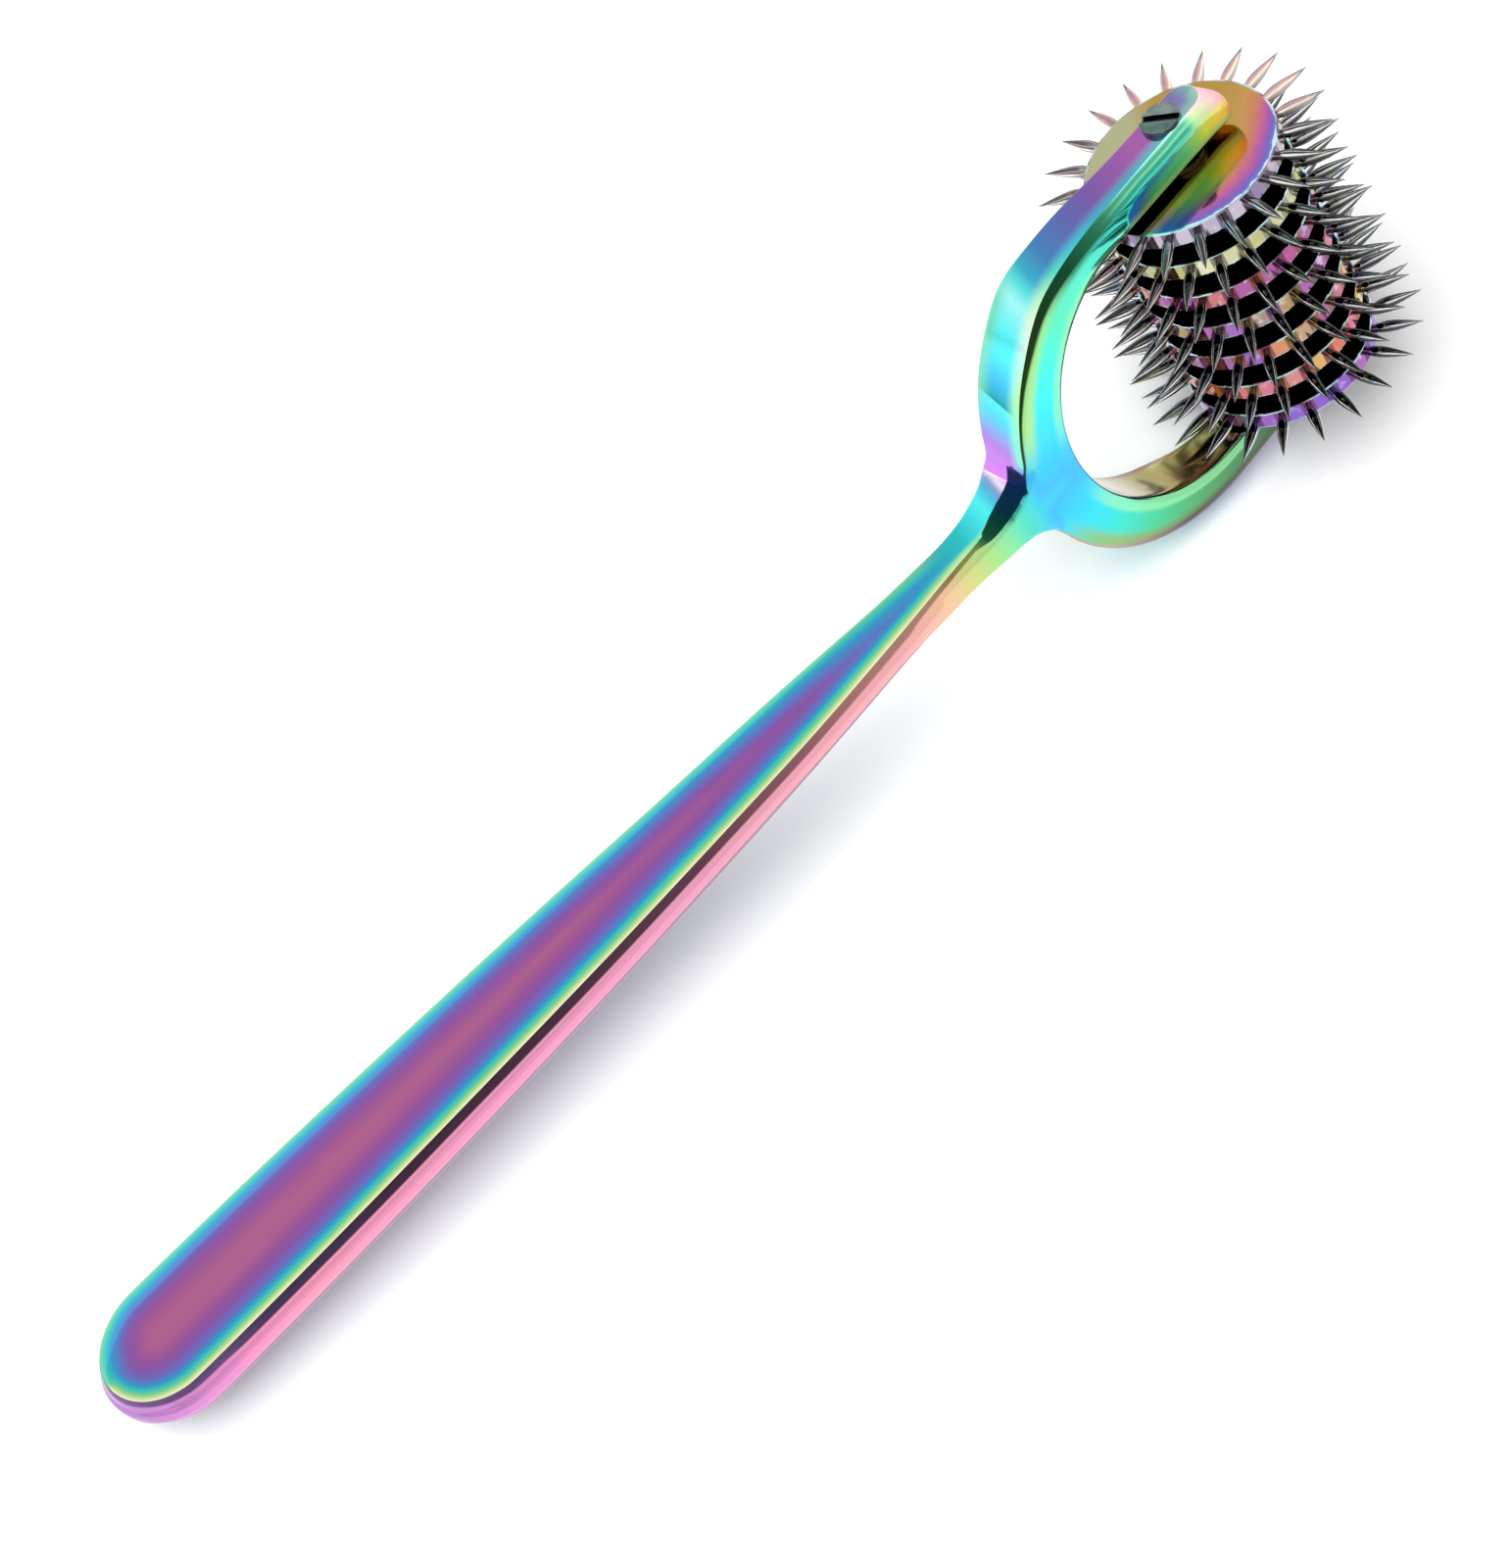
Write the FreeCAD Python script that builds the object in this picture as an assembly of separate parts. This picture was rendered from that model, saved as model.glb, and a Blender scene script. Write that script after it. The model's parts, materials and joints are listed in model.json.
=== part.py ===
import FreeCAD, Part
import math
import os

# A neurological pinwheel: a flat tapering handle that ends in a round fork, and in the fork a drum
# of seven pinned wheels that turns freely on a slotted screw. Millimetres and degrees.
# While it is drawn, X runs from the handle to the wheels, Y along the axle towards the screw's head,
# and the axle's middle is the origin. At the end the whole instrument is laid down on its side.

# Wheels and the spacers between them
wheel_count = 7
wheel_radius = 11.25
wheel_width = 2.2
row_pitch = 5.13
spacer_radius = 8.2

# Pins
pins_per_wheel = 22
pin_length = 5.68
pin_root_radius = 0.42
pin_belly_radius = 0.66
pin_sides = 6
pin_belly_height_share = 0.34
pin_shoulder_height_share = 0.68
pin_shoulder_radius_share = 0.64
row_turn_shares = (-0.06, -0.20, -0.01, -0.03, -0.15, -0.08, 0.44)

# Axle screw and the sleeve that turns on it
axle_radius = 1.5
running_clearance = 0.05
thread_clearance = 0.03
seat_clearance = 0.02
sleeve_wall = 1.5
end_play = 0.12
head_radius = 2.3
head_height = 1.1
head_edge_bevel = 0.3
slot_width = 0.95
slot_depth = 0.7
slot_turn = 62.0

# Fork
fork_inner_radius = 17.3
fork_inner_reach = 13.5
tine_thickness = 4.8
fork_outer_reach = 15.1
tine_height = 6.3
tine_end_reach = 6.0
edge_bevel = 0.5

# Neck, where the fork meets the handle
neck_blend_radius = 5.0
neck_bevel_start = 38.0
neck_thickness = 2.8
neck_width = 4.4
neck_root = 5.0

# Handle
bend_reach = 44.0
bend_angle = 6.1
handle_length = 130.0
handle_width = 15.7
handle_side = 4.85
crown_edge_angle = 40.0
crown_edge_share = 0.157
handle_start = 1.0
handle_place_shares = (
    0.0, 0.03, 0.07, 0.12, 0.19, 0.27, 0.36, 0.44, 0.525, 0.61, 0.69, 0.775, 0.865, 1.0,
)
handle_width_shares = (
    0.318, 0.300, 0.335, 0.40, 0.49, 0.58, 0.662, 0.742, 0.815, 0.87, 0.917, 0.96, 0.99, 1.0,
)
handle_side_shares = (
    0.62, 0.60, 0.58, 0.57, 0.575, 0.62, 0.68, 0.74, 0.80, 0.87, 0.93, 0.97, 1.0, 1.0,
)

# Shared by cuts and by the way the instrument is laid down
overrun = 1.0
mesh_fineness = 0.05
rest_rounds = 12

fork_outer_radius = fork_inner_radius + tine_thickness
sleeve_bore_radius = axle_radius + running_clearance
sleeve_radius = sleeve_bore_radius + sleeve_wall
seat_radius = sleeve_radius + seat_clearance
pin_step_angle = 360.0 / pins_per_wheel

Vector = FreeCAD.Vector
origin = Vector(0, 0, 0)
along_axle = Vector(0, 1, 0)
along_height = Vector(0, 0, 1)


def on_circle(radius, degrees):
    """The X and Z of a place on a circle round the axle."""
    turn = math.radians(degrees)
    return radius * math.cos(turn), radius * math.sin(turn)


def ring(outer_radius, bore_radius, low_y, width):
    """A round ring on the axle, from low_y towards the screw's head."""
    place = Vector(0, low_y, 0)
    body = Part.makeCylinder(outer_radius, width, place, along_axle)
    bore_place = Vector(0, low_y - overrun, 0)
    bore = Part.makeCylinder(bore_radius, width + overrun + overrun, bore_place, along_axle)
    return body.cut(bore)


def row_y(row):
    """The middle of one wheel's rim on the axle; row 0 is next to the screw's head."""
    return row_pitch * ((wheel_count - 1) / 2 - row)


def row_turn(row):
    """How far one wheel's first pin is turned from the X axis."""
    return pin_step_angle * row_turn_shares[row % len(row_turn_shares)]


def wheel(row):
    """One wheel: its rim is a ring of small flats, every second of which carries a pin."""
    flats = pins_per_wheel + pins_per_wheel
    flat_angle = 360.0 / flats
    corner_radius = wheel_radius / math.cos(math.radians(flat_angle / 2))
    low_y = row_y(row) - wheel_width / 2
    corners = []
    for number in range(flats + 1):
        x, z = on_circle(corner_radius, row_turn(row) + flat_angle * (number + 0.5))
        corners.append(Vector(x, low_y, z))
    face = Part.Face(Part.makePolygon(corners))
    body = face.extrude(along_axle * wheel_width)
    bore_place = Vector(0, low_y - overrun, 0)
    bore = Part.makeCylinder(seat_radius, wheel_width + overrun + overrun, bore_place, along_axle)
    return body.cut(bore)


def spacer(gap):
    """The narrow ring between two wheels; it leaves the dark groove between two rows of pins."""
    low_y = row_y(gap + 1) + wheel_width / 2
    return ring(spacer_radius, seat_radius, low_y, row_pitch - wheel_width)


def pin_corners(radius, height):
    """The corners of one cross-section of a pin that stands up from the origin."""
    corners = []
    for number in range(pin_sides + 1):
        turn = 2 * math.pi * (number + 0.5) / pin_sides
        corners.append(Vector(radius * math.cos(turn), radius * math.sin(turn), height))
    return corners


def pin():
    """A needle with a narrow root, a full belly and a sharp point, standing up from the origin."""
    shoulder_radius = pin_belly_radius * pin_shoulder_radius_share
    sections = [
        pin_corners(pin_root_radius, 0),
        pin_corners(pin_belly_radius, pin_length * pin_belly_height_share),
        pin_corners(shoulder_radius, pin_length * pin_shoulder_height_share),
    ]
    tip = Vector(0, 0, pin_length)
    faces = [Part.Face(Part.makePolygon(sections[0]))]
    for number in range(pin_sides):
        for low, high in zip(sections, sections[1:]):
            corners = [low[number], low[number + 1], high[number + 1], high[number], low[number]]
            faces.append(Part.Face(Part.makePolygon(corners)))
        start, end = sections[-1][number], sections[-1][number + 1]
        faces.append(Part.Face(Part.makePolygon([start, end, tip, start])))
    return Part.Solid(Part.Shell(faces))


def pins(row):
    """The pins of one wheel, each standing square on its own flat."""
    needle = pin()
    needles = []
    for number in range(pins_per_wheel):
        degrees = row_turn(row) + pin_step_angle * number
        x, z = on_circle(wheel_radius, degrees)
        upright = FreeCAD.Rotation(along_height, Vector(x, 0, z))
        placed = needle.copy()
        placed.Placement = FreeCAD.Placement(Vector(x, row_y(row), z), upright)
        needles.append(placed)
    return Part.makeCompound(needles)


def drum_sleeve():
    """The tube that all wheels and spacers sit on; its ends run against the two tines."""
    half_length = fork_inner_radius - end_play
    return ring(sleeve_radius, sleeve_bore_radius, -half_length, half_length + half_length)


def axle_screw():
    """The axle: a slotted cheese head on the near tine and a plain shank that ends in the far one."""
    shank_place = Vector(0, -fork_outer_radius, 0)
    shank = Part.makeCylinder(axle_radius, fork_outer_radius * 2, shank_place, along_axle)
    head_place = Vector(0, fork_outer_radius, 0)
    head = Part.makeCylinder(head_radius, head_height, head_place, along_axle)
    top_y = fork_outer_radius + head_height
    rim = [edge for edge in head.Edges if abs(edge.BoundBox.YMin - top_y) < head_edge_bevel]
    head = head.makeChamfer(head_edge_bevel, rim)
    slot_length = head_radius * 2 + overrun * 2
    slot_corner = Vector(-slot_length / 2, top_y - slot_depth, -slot_width / 2)
    slot = Part.makeBox(slot_length, slot_depth + overrun, slot_width, slot_corner)
    slot.rotate(origin, along_axle, slot_turn)
    return shank.fuse(head).removeSplitter().cut(slot)


def handle_point(back, y, z):
    """A place on the handle: back from the bend, y across its broad faces, z across its sides."""
    turn = math.radians(bend_angle)
    x = -bend_reach - back * math.cos(turn) - z * math.sin(turn)
    return Vector(x, y, z * math.cos(turn) - back * math.sin(turn))


def crown_edge(width):
    """How wide and how high the rounded edge strip of a broad face is."""
    strip = width * crown_edge_share
    return strip, strip * math.tan(math.radians(crown_edge_angle / 2))


def crown_points(width, side):
    """Half of a handle section, from the middle of one broad face round to the other."""
    strip, rise = crown_edge(width)
    half_turn = math.radians(crown_edge_angle / 2)
    radius = strip / math.sin(math.radians(crown_edge_angle))
    inner = width / 2 - strip
    top = side / 2 + rise
    middle_z = inner + radius * math.sin(half_turn)
    middle_y = top - radius * (1 - math.cos(half_turn))
    return inner, top, middle_z, middle_y


def handle_section(back, width, side):
    """One closed cross-section: flat broad faces, rounded strips along them and upright sides."""
    inner, top, middle_z, middle_y = crown_points(width, side)
    edges = []
    for up, across in ((1, 1), (-1, -1)):
        flat_start = handle_point(back, up * top, -across * inner)
        flat_end = handle_point(back, up * top, across * inner)
        near_middle = handle_point(back, up * middle_y, across * middle_z)
        near_ridge = handle_point(back, up * side / 2, across * width / 2)
        far_ridge = handle_point(back, -up * side / 2, across * width / 2)
        far_middle = handle_point(back, -up * middle_y, across * middle_z)
        far_flat = handle_point(back, -up * top, across * inner)
        edges.append(Part.makeLine(flat_start, flat_end))
        edges.append(Part.Arc(flat_end, near_middle, near_ridge).toShape())
        edges.append(Part.makeLine(near_ridge, far_ridge))
        edges.append(Part.Arc(far_ridge, far_middle, far_flat).toShape())
    return Part.Wire(edges)


def handle_end(back, width, side):
    """The rounded end: half of the last section turned about its own middle."""
    inner, top, middle_z, middle_y = crown_points(width, side)
    middle_top = handle_point(back, top, 0)
    middle_bottom = handle_point(back, -top, 0)
    flat_top = handle_point(back, top, inner)
    flat_bottom = handle_point(back, -top, inner)
    ridge_top = handle_point(back, side / 2, width / 2)
    ridge_bottom = handle_point(back, -side / 2, width / 2)
    arc_top = handle_point(back, middle_y, middle_z)
    arc_bottom = handle_point(back, -middle_y, middle_z)
    edges = [
        Part.makeLine(middle_top, flat_top),
        Part.Arc(flat_top, arc_top, ridge_top).toShape(),
        Part.makeLine(ridge_top, ridge_bottom),
        Part.Arc(ridge_bottom, arc_bottom, flat_bottom).toShape(),
        Part.makeLine(flat_bottom, middle_bottom),
        Part.makeLine(middle_bottom, middle_top),
    ]
    half_section = Part.Face(Part.Wire(edges))
    return half_section.revolve(handle_point(back, 0, 0), along_axle, -180)


def handle():
    """The flat handle, widening from the neck to a round end."""
    end_centre = handle_length - handle_width / 2
    reach = end_centre - handle_start
    sections = []
    stations = zip(handle_place_shares, handle_width_shares, handle_side_shares)
    for place_share, width_share, side_share in stations:
        back = handle_start + reach * place_share
        sections.append(handle_section(back, handle_width * width_share, handle_side * side_share))
    body = Part.makeLoft(sections, True, True)
    return body.fuse(handle_end(end_centre, handle_width, handle_side))


def fork_outline():
    """The fork seen along its height: two round arcs, two straight tines and the blended neck."""
    half_neck = neck_thickness / 2
    blend_y = half_neck + neck_blend_radius
    centre_gap = fork_outer_radius + neck_blend_radius
    blend_x = -fork_outer_reach - math.sqrt(centre_gap ** 2 - blend_y ** 2)
    touch_share = fork_outer_radius / centre_gap
    touch_x = -fork_outer_reach + (blend_x + fork_outer_reach) * touch_share
    touch_y = blend_y * touch_share
    neck_x = -bend_reach - neck_root
    tip_x = tine_end_reach + overrun
    touch_turn = math.atan2(touch_y, touch_x + fork_outer_reach)
    outer_turn = (math.pi / 2 + touch_turn) / 2
    outer_x = -fork_outer_reach + fork_outer_radius * math.cos(outer_turn)
    outer_y = fork_outer_radius * math.sin(outer_turn)
    blend_start = math.atan2(touch_y - blend_y, touch_x - blend_x)
    blend_middle = (blend_start - math.pi / 2) / 2
    middle_x = blend_x + neck_blend_radius * math.cos(blend_middle)
    middle_y = blend_y + neck_blend_radius * math.sin(blend_middle)

    def half(side):
        """One side of the outline, from the tine's tip to the neck."""
        tip = Vector(tip_x, side * fork_outer_radius, 0)
        arc_start = Vector(-fork_outer_reach, side * fork_outer_radius, 0)
        touch = Vector(touch_x, side * touch_y, 0)
        line_start = Vector(blend_x, side * half_neck, 0)
        return [
            Part.makeLine(tip, arc_start),
            Part.Arc(arc_start, Vector(outer_x, side * outer_y, 0), touch).toShape(),
            Part.Arc(touch, Vector(middle_x, side * middle_y, 0), line_start).toShape(),
            Part.makeLine(line_start, Vector(neck_x, side * half_neck, 0)),
        ]

    inner_start = Vector(-fork_inner_reach, fork_inner_radius, 0)
    inner_end = Vector(-fork_inner_reach, -fork_inner_radius, 0)
    crotch = Vector(-fork_inner_reach - fork_inner_radius, 0, 0)
    edges = half(1)
    edges.append(Part.makeLine(Vector(neck_x, half_neck, 0), Vector(neck_x, -half_neck, 0)))
    edges.extend(reversed(half(-1)))
    for side, start in ((-1, inner_end), (1, inner_start)):
        tip = Vector(tip_x, side * fork_inner_radius, 0)
        edges.append(Part.makeLine(Vector(tip_x, side * fork_outer_radius, 0), tip))
        edges.append(Part.makeLine(tip, start))
    edges.append(Part.Arc(inner_end, crotch, inner_start).toShape())
    return Part.Wire(Part.__sortEdges__(edges))


def fork_plan():
    """The fork seen along the axle: rounded tine ends, straight sides and a bevel down to the neck."""
    half_height = tine_height / 2
    round_x = tine_end_reach - half_height
    top = Vector(round_x, 0, half_height)
    bottom = Vector(round_x, 0, -half_height)
    neck_top = handle_point(neck_root, 0, neck_width / 2)
    neck_bottom = handle_point(neck_root, 0, -neck_width / 2)
    bevel_top = Vector(-neck_bevel_start, 0, half_height)
    bevel_bottom = Vector(-neck_bevel_start, 0, -half_height)
    edges = [
        Part.Arc(bottom, Vector(tine_end_reach, 0, 0), top).toShape(),
        Part.makeLine(top, bevel_top),
        Part.makeLine(bevel_top, neck_top),
        Part.makeLine(neck_top, neck_bottom),
        Part.makeLine(neck_bottom, bevel_bottom),
        Part.makeLine(bevel_bottom, bottom),
    ]
    return Part.Wire(edges)


def bevelled(body):
    """Takes the sharpness off all edges of the two flat faces, apart from the cut ends."""
    long_edges = []
    for edge in body.Edges:
        box = edge.BoundBox
        off_face = abs(abs(box.Center.z) - tine_height / 2)
        on_face = box.ZLength < edge_bevel and off_face < edge_bevel
        if on_face and box.XLength > edge_bevel:
            long_edges.append(edge)
    return body.makeChamfer(edge_bevel, long_edges)


def fork():
    """The flat round fork with its two tines."""
    profile = Part.Face(fork_outline())
    profile.translate(Vector(0, 0, -tine_height / 2))
    body = bevelled(profile.extrude(along_height * tine_height))
    plan = Part.Face(fork_plan())
    plan.translate(Vector(0, -fork_outer_radius - overrun, 0))
    plan_body = plan.extrude(along_axle * (fork_outer_radius * 2 + overrun * 2))
    return body.common(plan_body)


def fork_handle():
    """Fork and handle, forged in one piece and bored for the axle screw."""
    body = fork().fuse(handle())
    bore_radius = axle_radius + thread_clearance
    bore_place = Vector(0, -fork_outer_radius - overrun, 0)
    bore = Part.makeCylinder(bore_radius, (fork_outer_radius + overrun) * 2, bore_place, along_axle)
    return body.cut(bore)


def corner_points(shape):
    """Points all over a shape, close enough to find where it touches the table."""
    return shape.tessellate(mesh_fineness)[0]


def rest_directions(fork_points, pin_points):
    """X, Y and Z of the instrument lying on its handle's end, its far tine and its last pins."""
    handle_half = -bend_reach - handle_length / 2
    groups = (
        [point for point in fork_points if point.x < handle_half],
        [point for point in fork_points if point.x > -bend_reach and point.y < 0],
        pin_points,
    )
    up = Vector(0, 1, 1).normalize()
    for _ in range(rest_rounds):
        touches = [min(group, key=lambda point: point.dot(up)) for group in groups]
        normal = (touches[1] - touches[0]).cross(touches[2] - touches[0])
        normal.normalize()
        up = normal if normal.y > 0 else normal * -1
    forward = Vector(1, 0, 0) - up * up.x
    forward.normalize()
    return forward, up.cross(forward), up


def laid_down(shapes):
    """Where the instrument lies: on the table, with the middle of its box over the origin."""
    fork_points = corner_points(shapes["fork_handle"])
    pin_points = corner_points(shapes["pins_%d" % wheel_count])
    forward, sideways, up = rest_directions(fork_points, pin_points)
    points = list(fork_points)
    for shape in shapes.values():
        points.extend(corner_points(shape))
    lows = [min(point.dot(axis) for point in points) for axis in (forward, sideways, up)]
    highs = [max(point.dot(axis) for point in points) for axis in (forward, sideways, up)]
    move = Vector(-(lows[0] + highs[0]) / 2, -(lows[1] + highs[1]) / 2, -lows[2])
    turn = FreeCAD.Matrix(
        forward.x, forward.y, forward.z, move.x,
        sideways.x, sideways.y, sideways.z, move.y,
        up.x, up.y, up.z, move.z,
        0, 0, 0, 1,
    )
    return FreeCAD.Placement(turn)


def all_shapes():
    """Every piece under its own name, still in the frame it is drawn in."""
    shapes = {
        "fork_handle": fork_handle(),
        "axle_screw": axle_screw(),
        "drum_sleeve": drum_sleeve(),
    }
    for row in range(wheel_count):
        shapes["wheel_%d" % (row + 1)] = wheel(row)
        shapes["pins_%d" % (row + 1)] = pins(row)
    for gap in range(wheel_count - 1):
        shapes["spacer_%d" % (gap + 1)] = spacer(gap)
    return shapes


os.makedirs("parts", exist_ok=True)
made = all_shapes()
placement = laid_down(made)
for name, shape in made.items():
    placed = shape.copy()
    placed.Placement = placement.multiply(shape.Placement)
    placed.exportStep(os.path.join("parts", name + ".step"))

axle_direction = placement.Rotation.multVec(along_axle)
axle_middle = placement.multVec(origin)
print("axle direction", [round(value, 6) for value in axle_direction])
print("axle middle", [round(value, 4) for value in axle_middle])
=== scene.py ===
import json
import math

import bmesh
import bpy
from mathutils import Matrix, Vector

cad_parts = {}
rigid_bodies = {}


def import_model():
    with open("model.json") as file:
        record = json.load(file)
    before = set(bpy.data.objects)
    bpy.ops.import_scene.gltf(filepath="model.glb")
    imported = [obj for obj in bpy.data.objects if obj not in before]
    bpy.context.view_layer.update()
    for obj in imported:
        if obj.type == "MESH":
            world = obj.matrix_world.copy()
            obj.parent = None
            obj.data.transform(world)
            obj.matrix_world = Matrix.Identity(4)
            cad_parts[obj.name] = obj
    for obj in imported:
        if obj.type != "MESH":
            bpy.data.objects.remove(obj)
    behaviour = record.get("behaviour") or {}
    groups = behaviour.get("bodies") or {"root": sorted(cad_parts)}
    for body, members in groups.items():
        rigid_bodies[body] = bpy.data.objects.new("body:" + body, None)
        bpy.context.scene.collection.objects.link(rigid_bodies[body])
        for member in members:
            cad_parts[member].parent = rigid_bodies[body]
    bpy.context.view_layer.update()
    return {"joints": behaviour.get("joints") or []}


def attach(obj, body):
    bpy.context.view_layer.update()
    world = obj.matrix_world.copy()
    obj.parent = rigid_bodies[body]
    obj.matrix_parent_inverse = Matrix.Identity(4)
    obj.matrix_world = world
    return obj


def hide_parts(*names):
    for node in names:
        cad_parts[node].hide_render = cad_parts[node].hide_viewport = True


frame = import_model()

# How the instrument lies, and the camera
# Everything is modelled standing square on the axle of the needle drum: X runs from the handle to
# the drum, Y along the axle towards the screw's head, and the axle's middle is the zero point.
# At the end each piece is laid down as the real one lies on the table.
mm = 0.001
spin = frame["joints"][0]
along_axle = Vector(spin["axis"]).normalized()
along_fork = Vector((along_axle.z, 0, -along_axle.x)).normalized()
square = Matrix((along_fork, along_axle, along_fork.cross(along_axle))).transposed()
lying = Matrix.Translation(Vector(spin["pos_m"])) @ square.to_4x4()

# the camera's directions and place in that square frame, and how long its lens is
view_right = Vector((0.64185, -0.43410, 0.63213))
view_up = Vector((0.74113, 0.56280, -0.36604))
view_back = view_right.cross(view_up)
camera_place = Vector((-166.32, 306.56, 295.20)) * mm
camera_turn = Matrix((view_right, view_up, view_back)).transposed().to_4x4()
lens_in_pixels = 4123.14
picture_height = 1600
camera_data = bpy.data.cameras.new("camera")
camera_data.sensor_width = 36
camera_data.lens = lens_in_pixels / picture_height * camera_data.sensor_width
camera_data.clip_start = 0.01
camera = bpy.data.objects.new("camera", camera_data)
camera.matrix_world = lying @ Matrix.Translation(camera_place) @ camera_turn
bpy.context.scene.collection.objects.link(camera)
bpy.context.scene.camera = camera
bpy.context.scene.view_settings.view_transform = "Standard"


# Table and light
# A plain white table in a white tent, which polished metal mirrors as even light. The tent is a bit
# dimmer where the camera and the person behind it stand. A broad lamp makes the soft shadows.
def add(tree, kind, inputs=(), **settings):
    """Adds a node and fills its sockets with numbers or with other nodes' outputs."""
    node = tree.nodes.new(kind)
    for name, value in settings.items():
        setattr(node, name, value)
    for socket, value in dict(inputs).items():
        if isinstance(value, bpy.types.NodeSocket):
            tree.links.new(value, node.inputs[socket])
        else:
            node.inputs[socket].default_value = value
    return node


def calc(tree, operation, *values):
    return add(tree, "ShaderNodeMath", enumerate(values), operation=operation).outputs[0]


def between(tree, value, low, high, bottom=0.0, top=1.0):
    """Goes softly from bottom to top while the value goes from low to high."""
    inputs = {"Value": value, "From Min": low, "From Max": high, "To Min": bottom, "To Max": top}
    return add(tree, "ShaderNodeMapRange", inputs, interpolation_type="SMOOTHSTEP").outputs[0]


bpy.ops.object.select_all(action="DESELECT")
bpy.ops.mesh.primitive_grid_add(x_subdivisions=2, y_subdivisions=2, size=6)
table = bpy.context.object
table.name = "white_table"

# seen by the camera, the table glows faintly and runs into the white behind it further away; metal
# mirrors it nearly as bright as the tent
table_paint = bpy.data.materials.new("white_table")
table_paint.use_nodes = True
tree = table_paint.node_tree
tree.nodes.clear()
matt = add(tree, "ShaderNodeBsdfDiffuse", {"Color": (0.82, 0.82, 0.83, 1)}).outputs[0]
table_place = add(tree, "ShaderNodeTexCoord").outputs["Object"]
distance = add(tree, "ShaderNodeVectorMath", {0: table_place}, operation="LENGTH").outputs["Value"]
farther = {"Value": distance, "From Min": 0.3, "From Max": 1.0, "To Min": 0.10, "To Max": 0.75}
fill = add(tree, "ShaderNodeMapRange", farther).outputs[0]
faint = add(tree, "ShaderNodeEmission", {"Strength": fill}).outputs[0]
shown = add(tree, "ShaderNodeAddShader", {0: matt, 1: faint}).outputs[0]
glow = add(tree, "ShaderNodeEmission", {"Strength": 1.1}).outputs[0]
mirrored = add(tree, "ShaderNodeMixShader", {0: 0.75, 1: matt, 2: glow}).outputs[0]
ray = add(tree, "ShaderNodeLightPath").outputs
lit = add(tree, "ShaderNodeMixShader", {0: ray["Is Glossy Ray"], 1: matt, 2: mirrored}).outputs[0]
paint = add(tree, "ShaderNodeMixShader", {0: ray["Is Camera Ray"], 1: lit, 2: shown}).outputs[0]
add(tree, "ShaderNodeOutputMaterial", {"Surface": paint})
table.data.materials.append(table_paint)

# the tent itself only shows to the camera and in metal; what lights the rest is a dimmer one
world = bpy.data.worlds.new("white_tent")
bpy.context.scene.world = world
world.use_nodes = True
tree = world.node_tree
tree.nodes.clear()
way = add(tree, "ShaderNodeTexCoord").outputs["Generated"]
camera_way = (square @ view_back).normalized()
person_way = Vector((-0.76, -0.45, 0.46)).normalized()
opening_edge = math.cos(math.radians(22))
opening_full = math.cos(math.radians(16))
opening = 0.0
for share in (0.0, 0.33, 0.67, 1.0):
    centre = camera_way.slerp(person_way, share)
    toward = add(tree, "ShaderNodeVectorMath", {0: way, 1: centre}, operation="DOT_PRODUCT").outputs["Value"]
    opening = calc(tree, "MAXIMUM", opening, between(tree, toward, opening_edge, opening_full))
tent_light = add(tree, "ShaderNodeMapRange", {"Value": opening, "To Min": 1.0, "To Max": 0.85}).outputs[0]
ray = add(tree, "ShaderNodeLightPath").outputs
tent_light = calc(tree, "MAXIMUM", tent_light, ray["Is Camera Ray"])
tent_shows = calc(tree, "MAXIMUM", ray["Is Camera Ray"], ray["Is Glossy Ray"])
white = (1, 1, 1, 1)
dim = add(tree, "ShaderNodeBackground", {"Color": white, "Strength": 0.32}).outputs[0]
tent = add(tree, "ShaderNodeBackground", {"Color": white, "Strength": tent_light}).outputs[0]
around = add(tree, "ShaderNodeMixShader", {0: tent_shows, 1: dim, 2: tent}).outputs[0]
add(tree, "ShaderNodeOutputWorld", {"Surface": around})

lamp_data = bpy.data.lights.new("soft_box", "AREA")
lamp_data.shape = "RECTANGLE"
lamp_data.size = 0.72
lamp_data.size_y = 0.62
lamp_data.energy = 7.0
lamp = bpy.data.objects.new("soft_box", lamp_data)
lamp.location = (-0.15, 0.12, 0.52)
lamp.rotation_mode = "QUATERNION"
lamp.rotation_quaternion = lamp.location.to_track_quat("Z", "Y")
lamp.visible_glossy = False
bpy.context.scene.collection.objects.link(lamp)


# Fork and handle
# One steel forging: two flat tines run into a round bow, the bow into a thin neck, and the neck into
# a crowned handle with a round end. Ground, polished to a mirror and coated in rainbow colours.
half_height = 3.15 * mm
inner_wall = 17.3 * mm
outer_wall = 22.1 * mm
tine_middle = (inner_wall + outer_wall) / 2
bow_centre = -13.5 * mm
bow_reach = 23.7 * mm
bow_stretch = bow_reach / outer_wall
tip_centre = 3.2 * mm
outer_bevel = 1.1 * mm
inner_bevel = 0.5 * mm
ridge_share = 0.68
inner_ridge_share = 0.84
outer_part = 20.5 * mm
inner_part = 19 * mm
tine_parts = 4
bow_parts = 40
part_degrees = 180 / bow_parts
end_parts = 12
tiny = 0.02 * mm
same_turn = 0.02


def only(piece):
    """Makes one piece the selected and active one."""
    bpy.ops.object.select_all(action="DESELECT")
    piece.select_set(True)
    bpy.context.view_layer.objects.active = piece


def fix_place():
    bpy.ops.object.transform_apply(location=True, rotation=True, scale=True)


def lay_down(piece, place=Matrix()):
    """Takes a finished piece from the square frame to where it lies on the table."""
    piece.matrix_world = lying @ place
    only(piece)
    fix_place()


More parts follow.
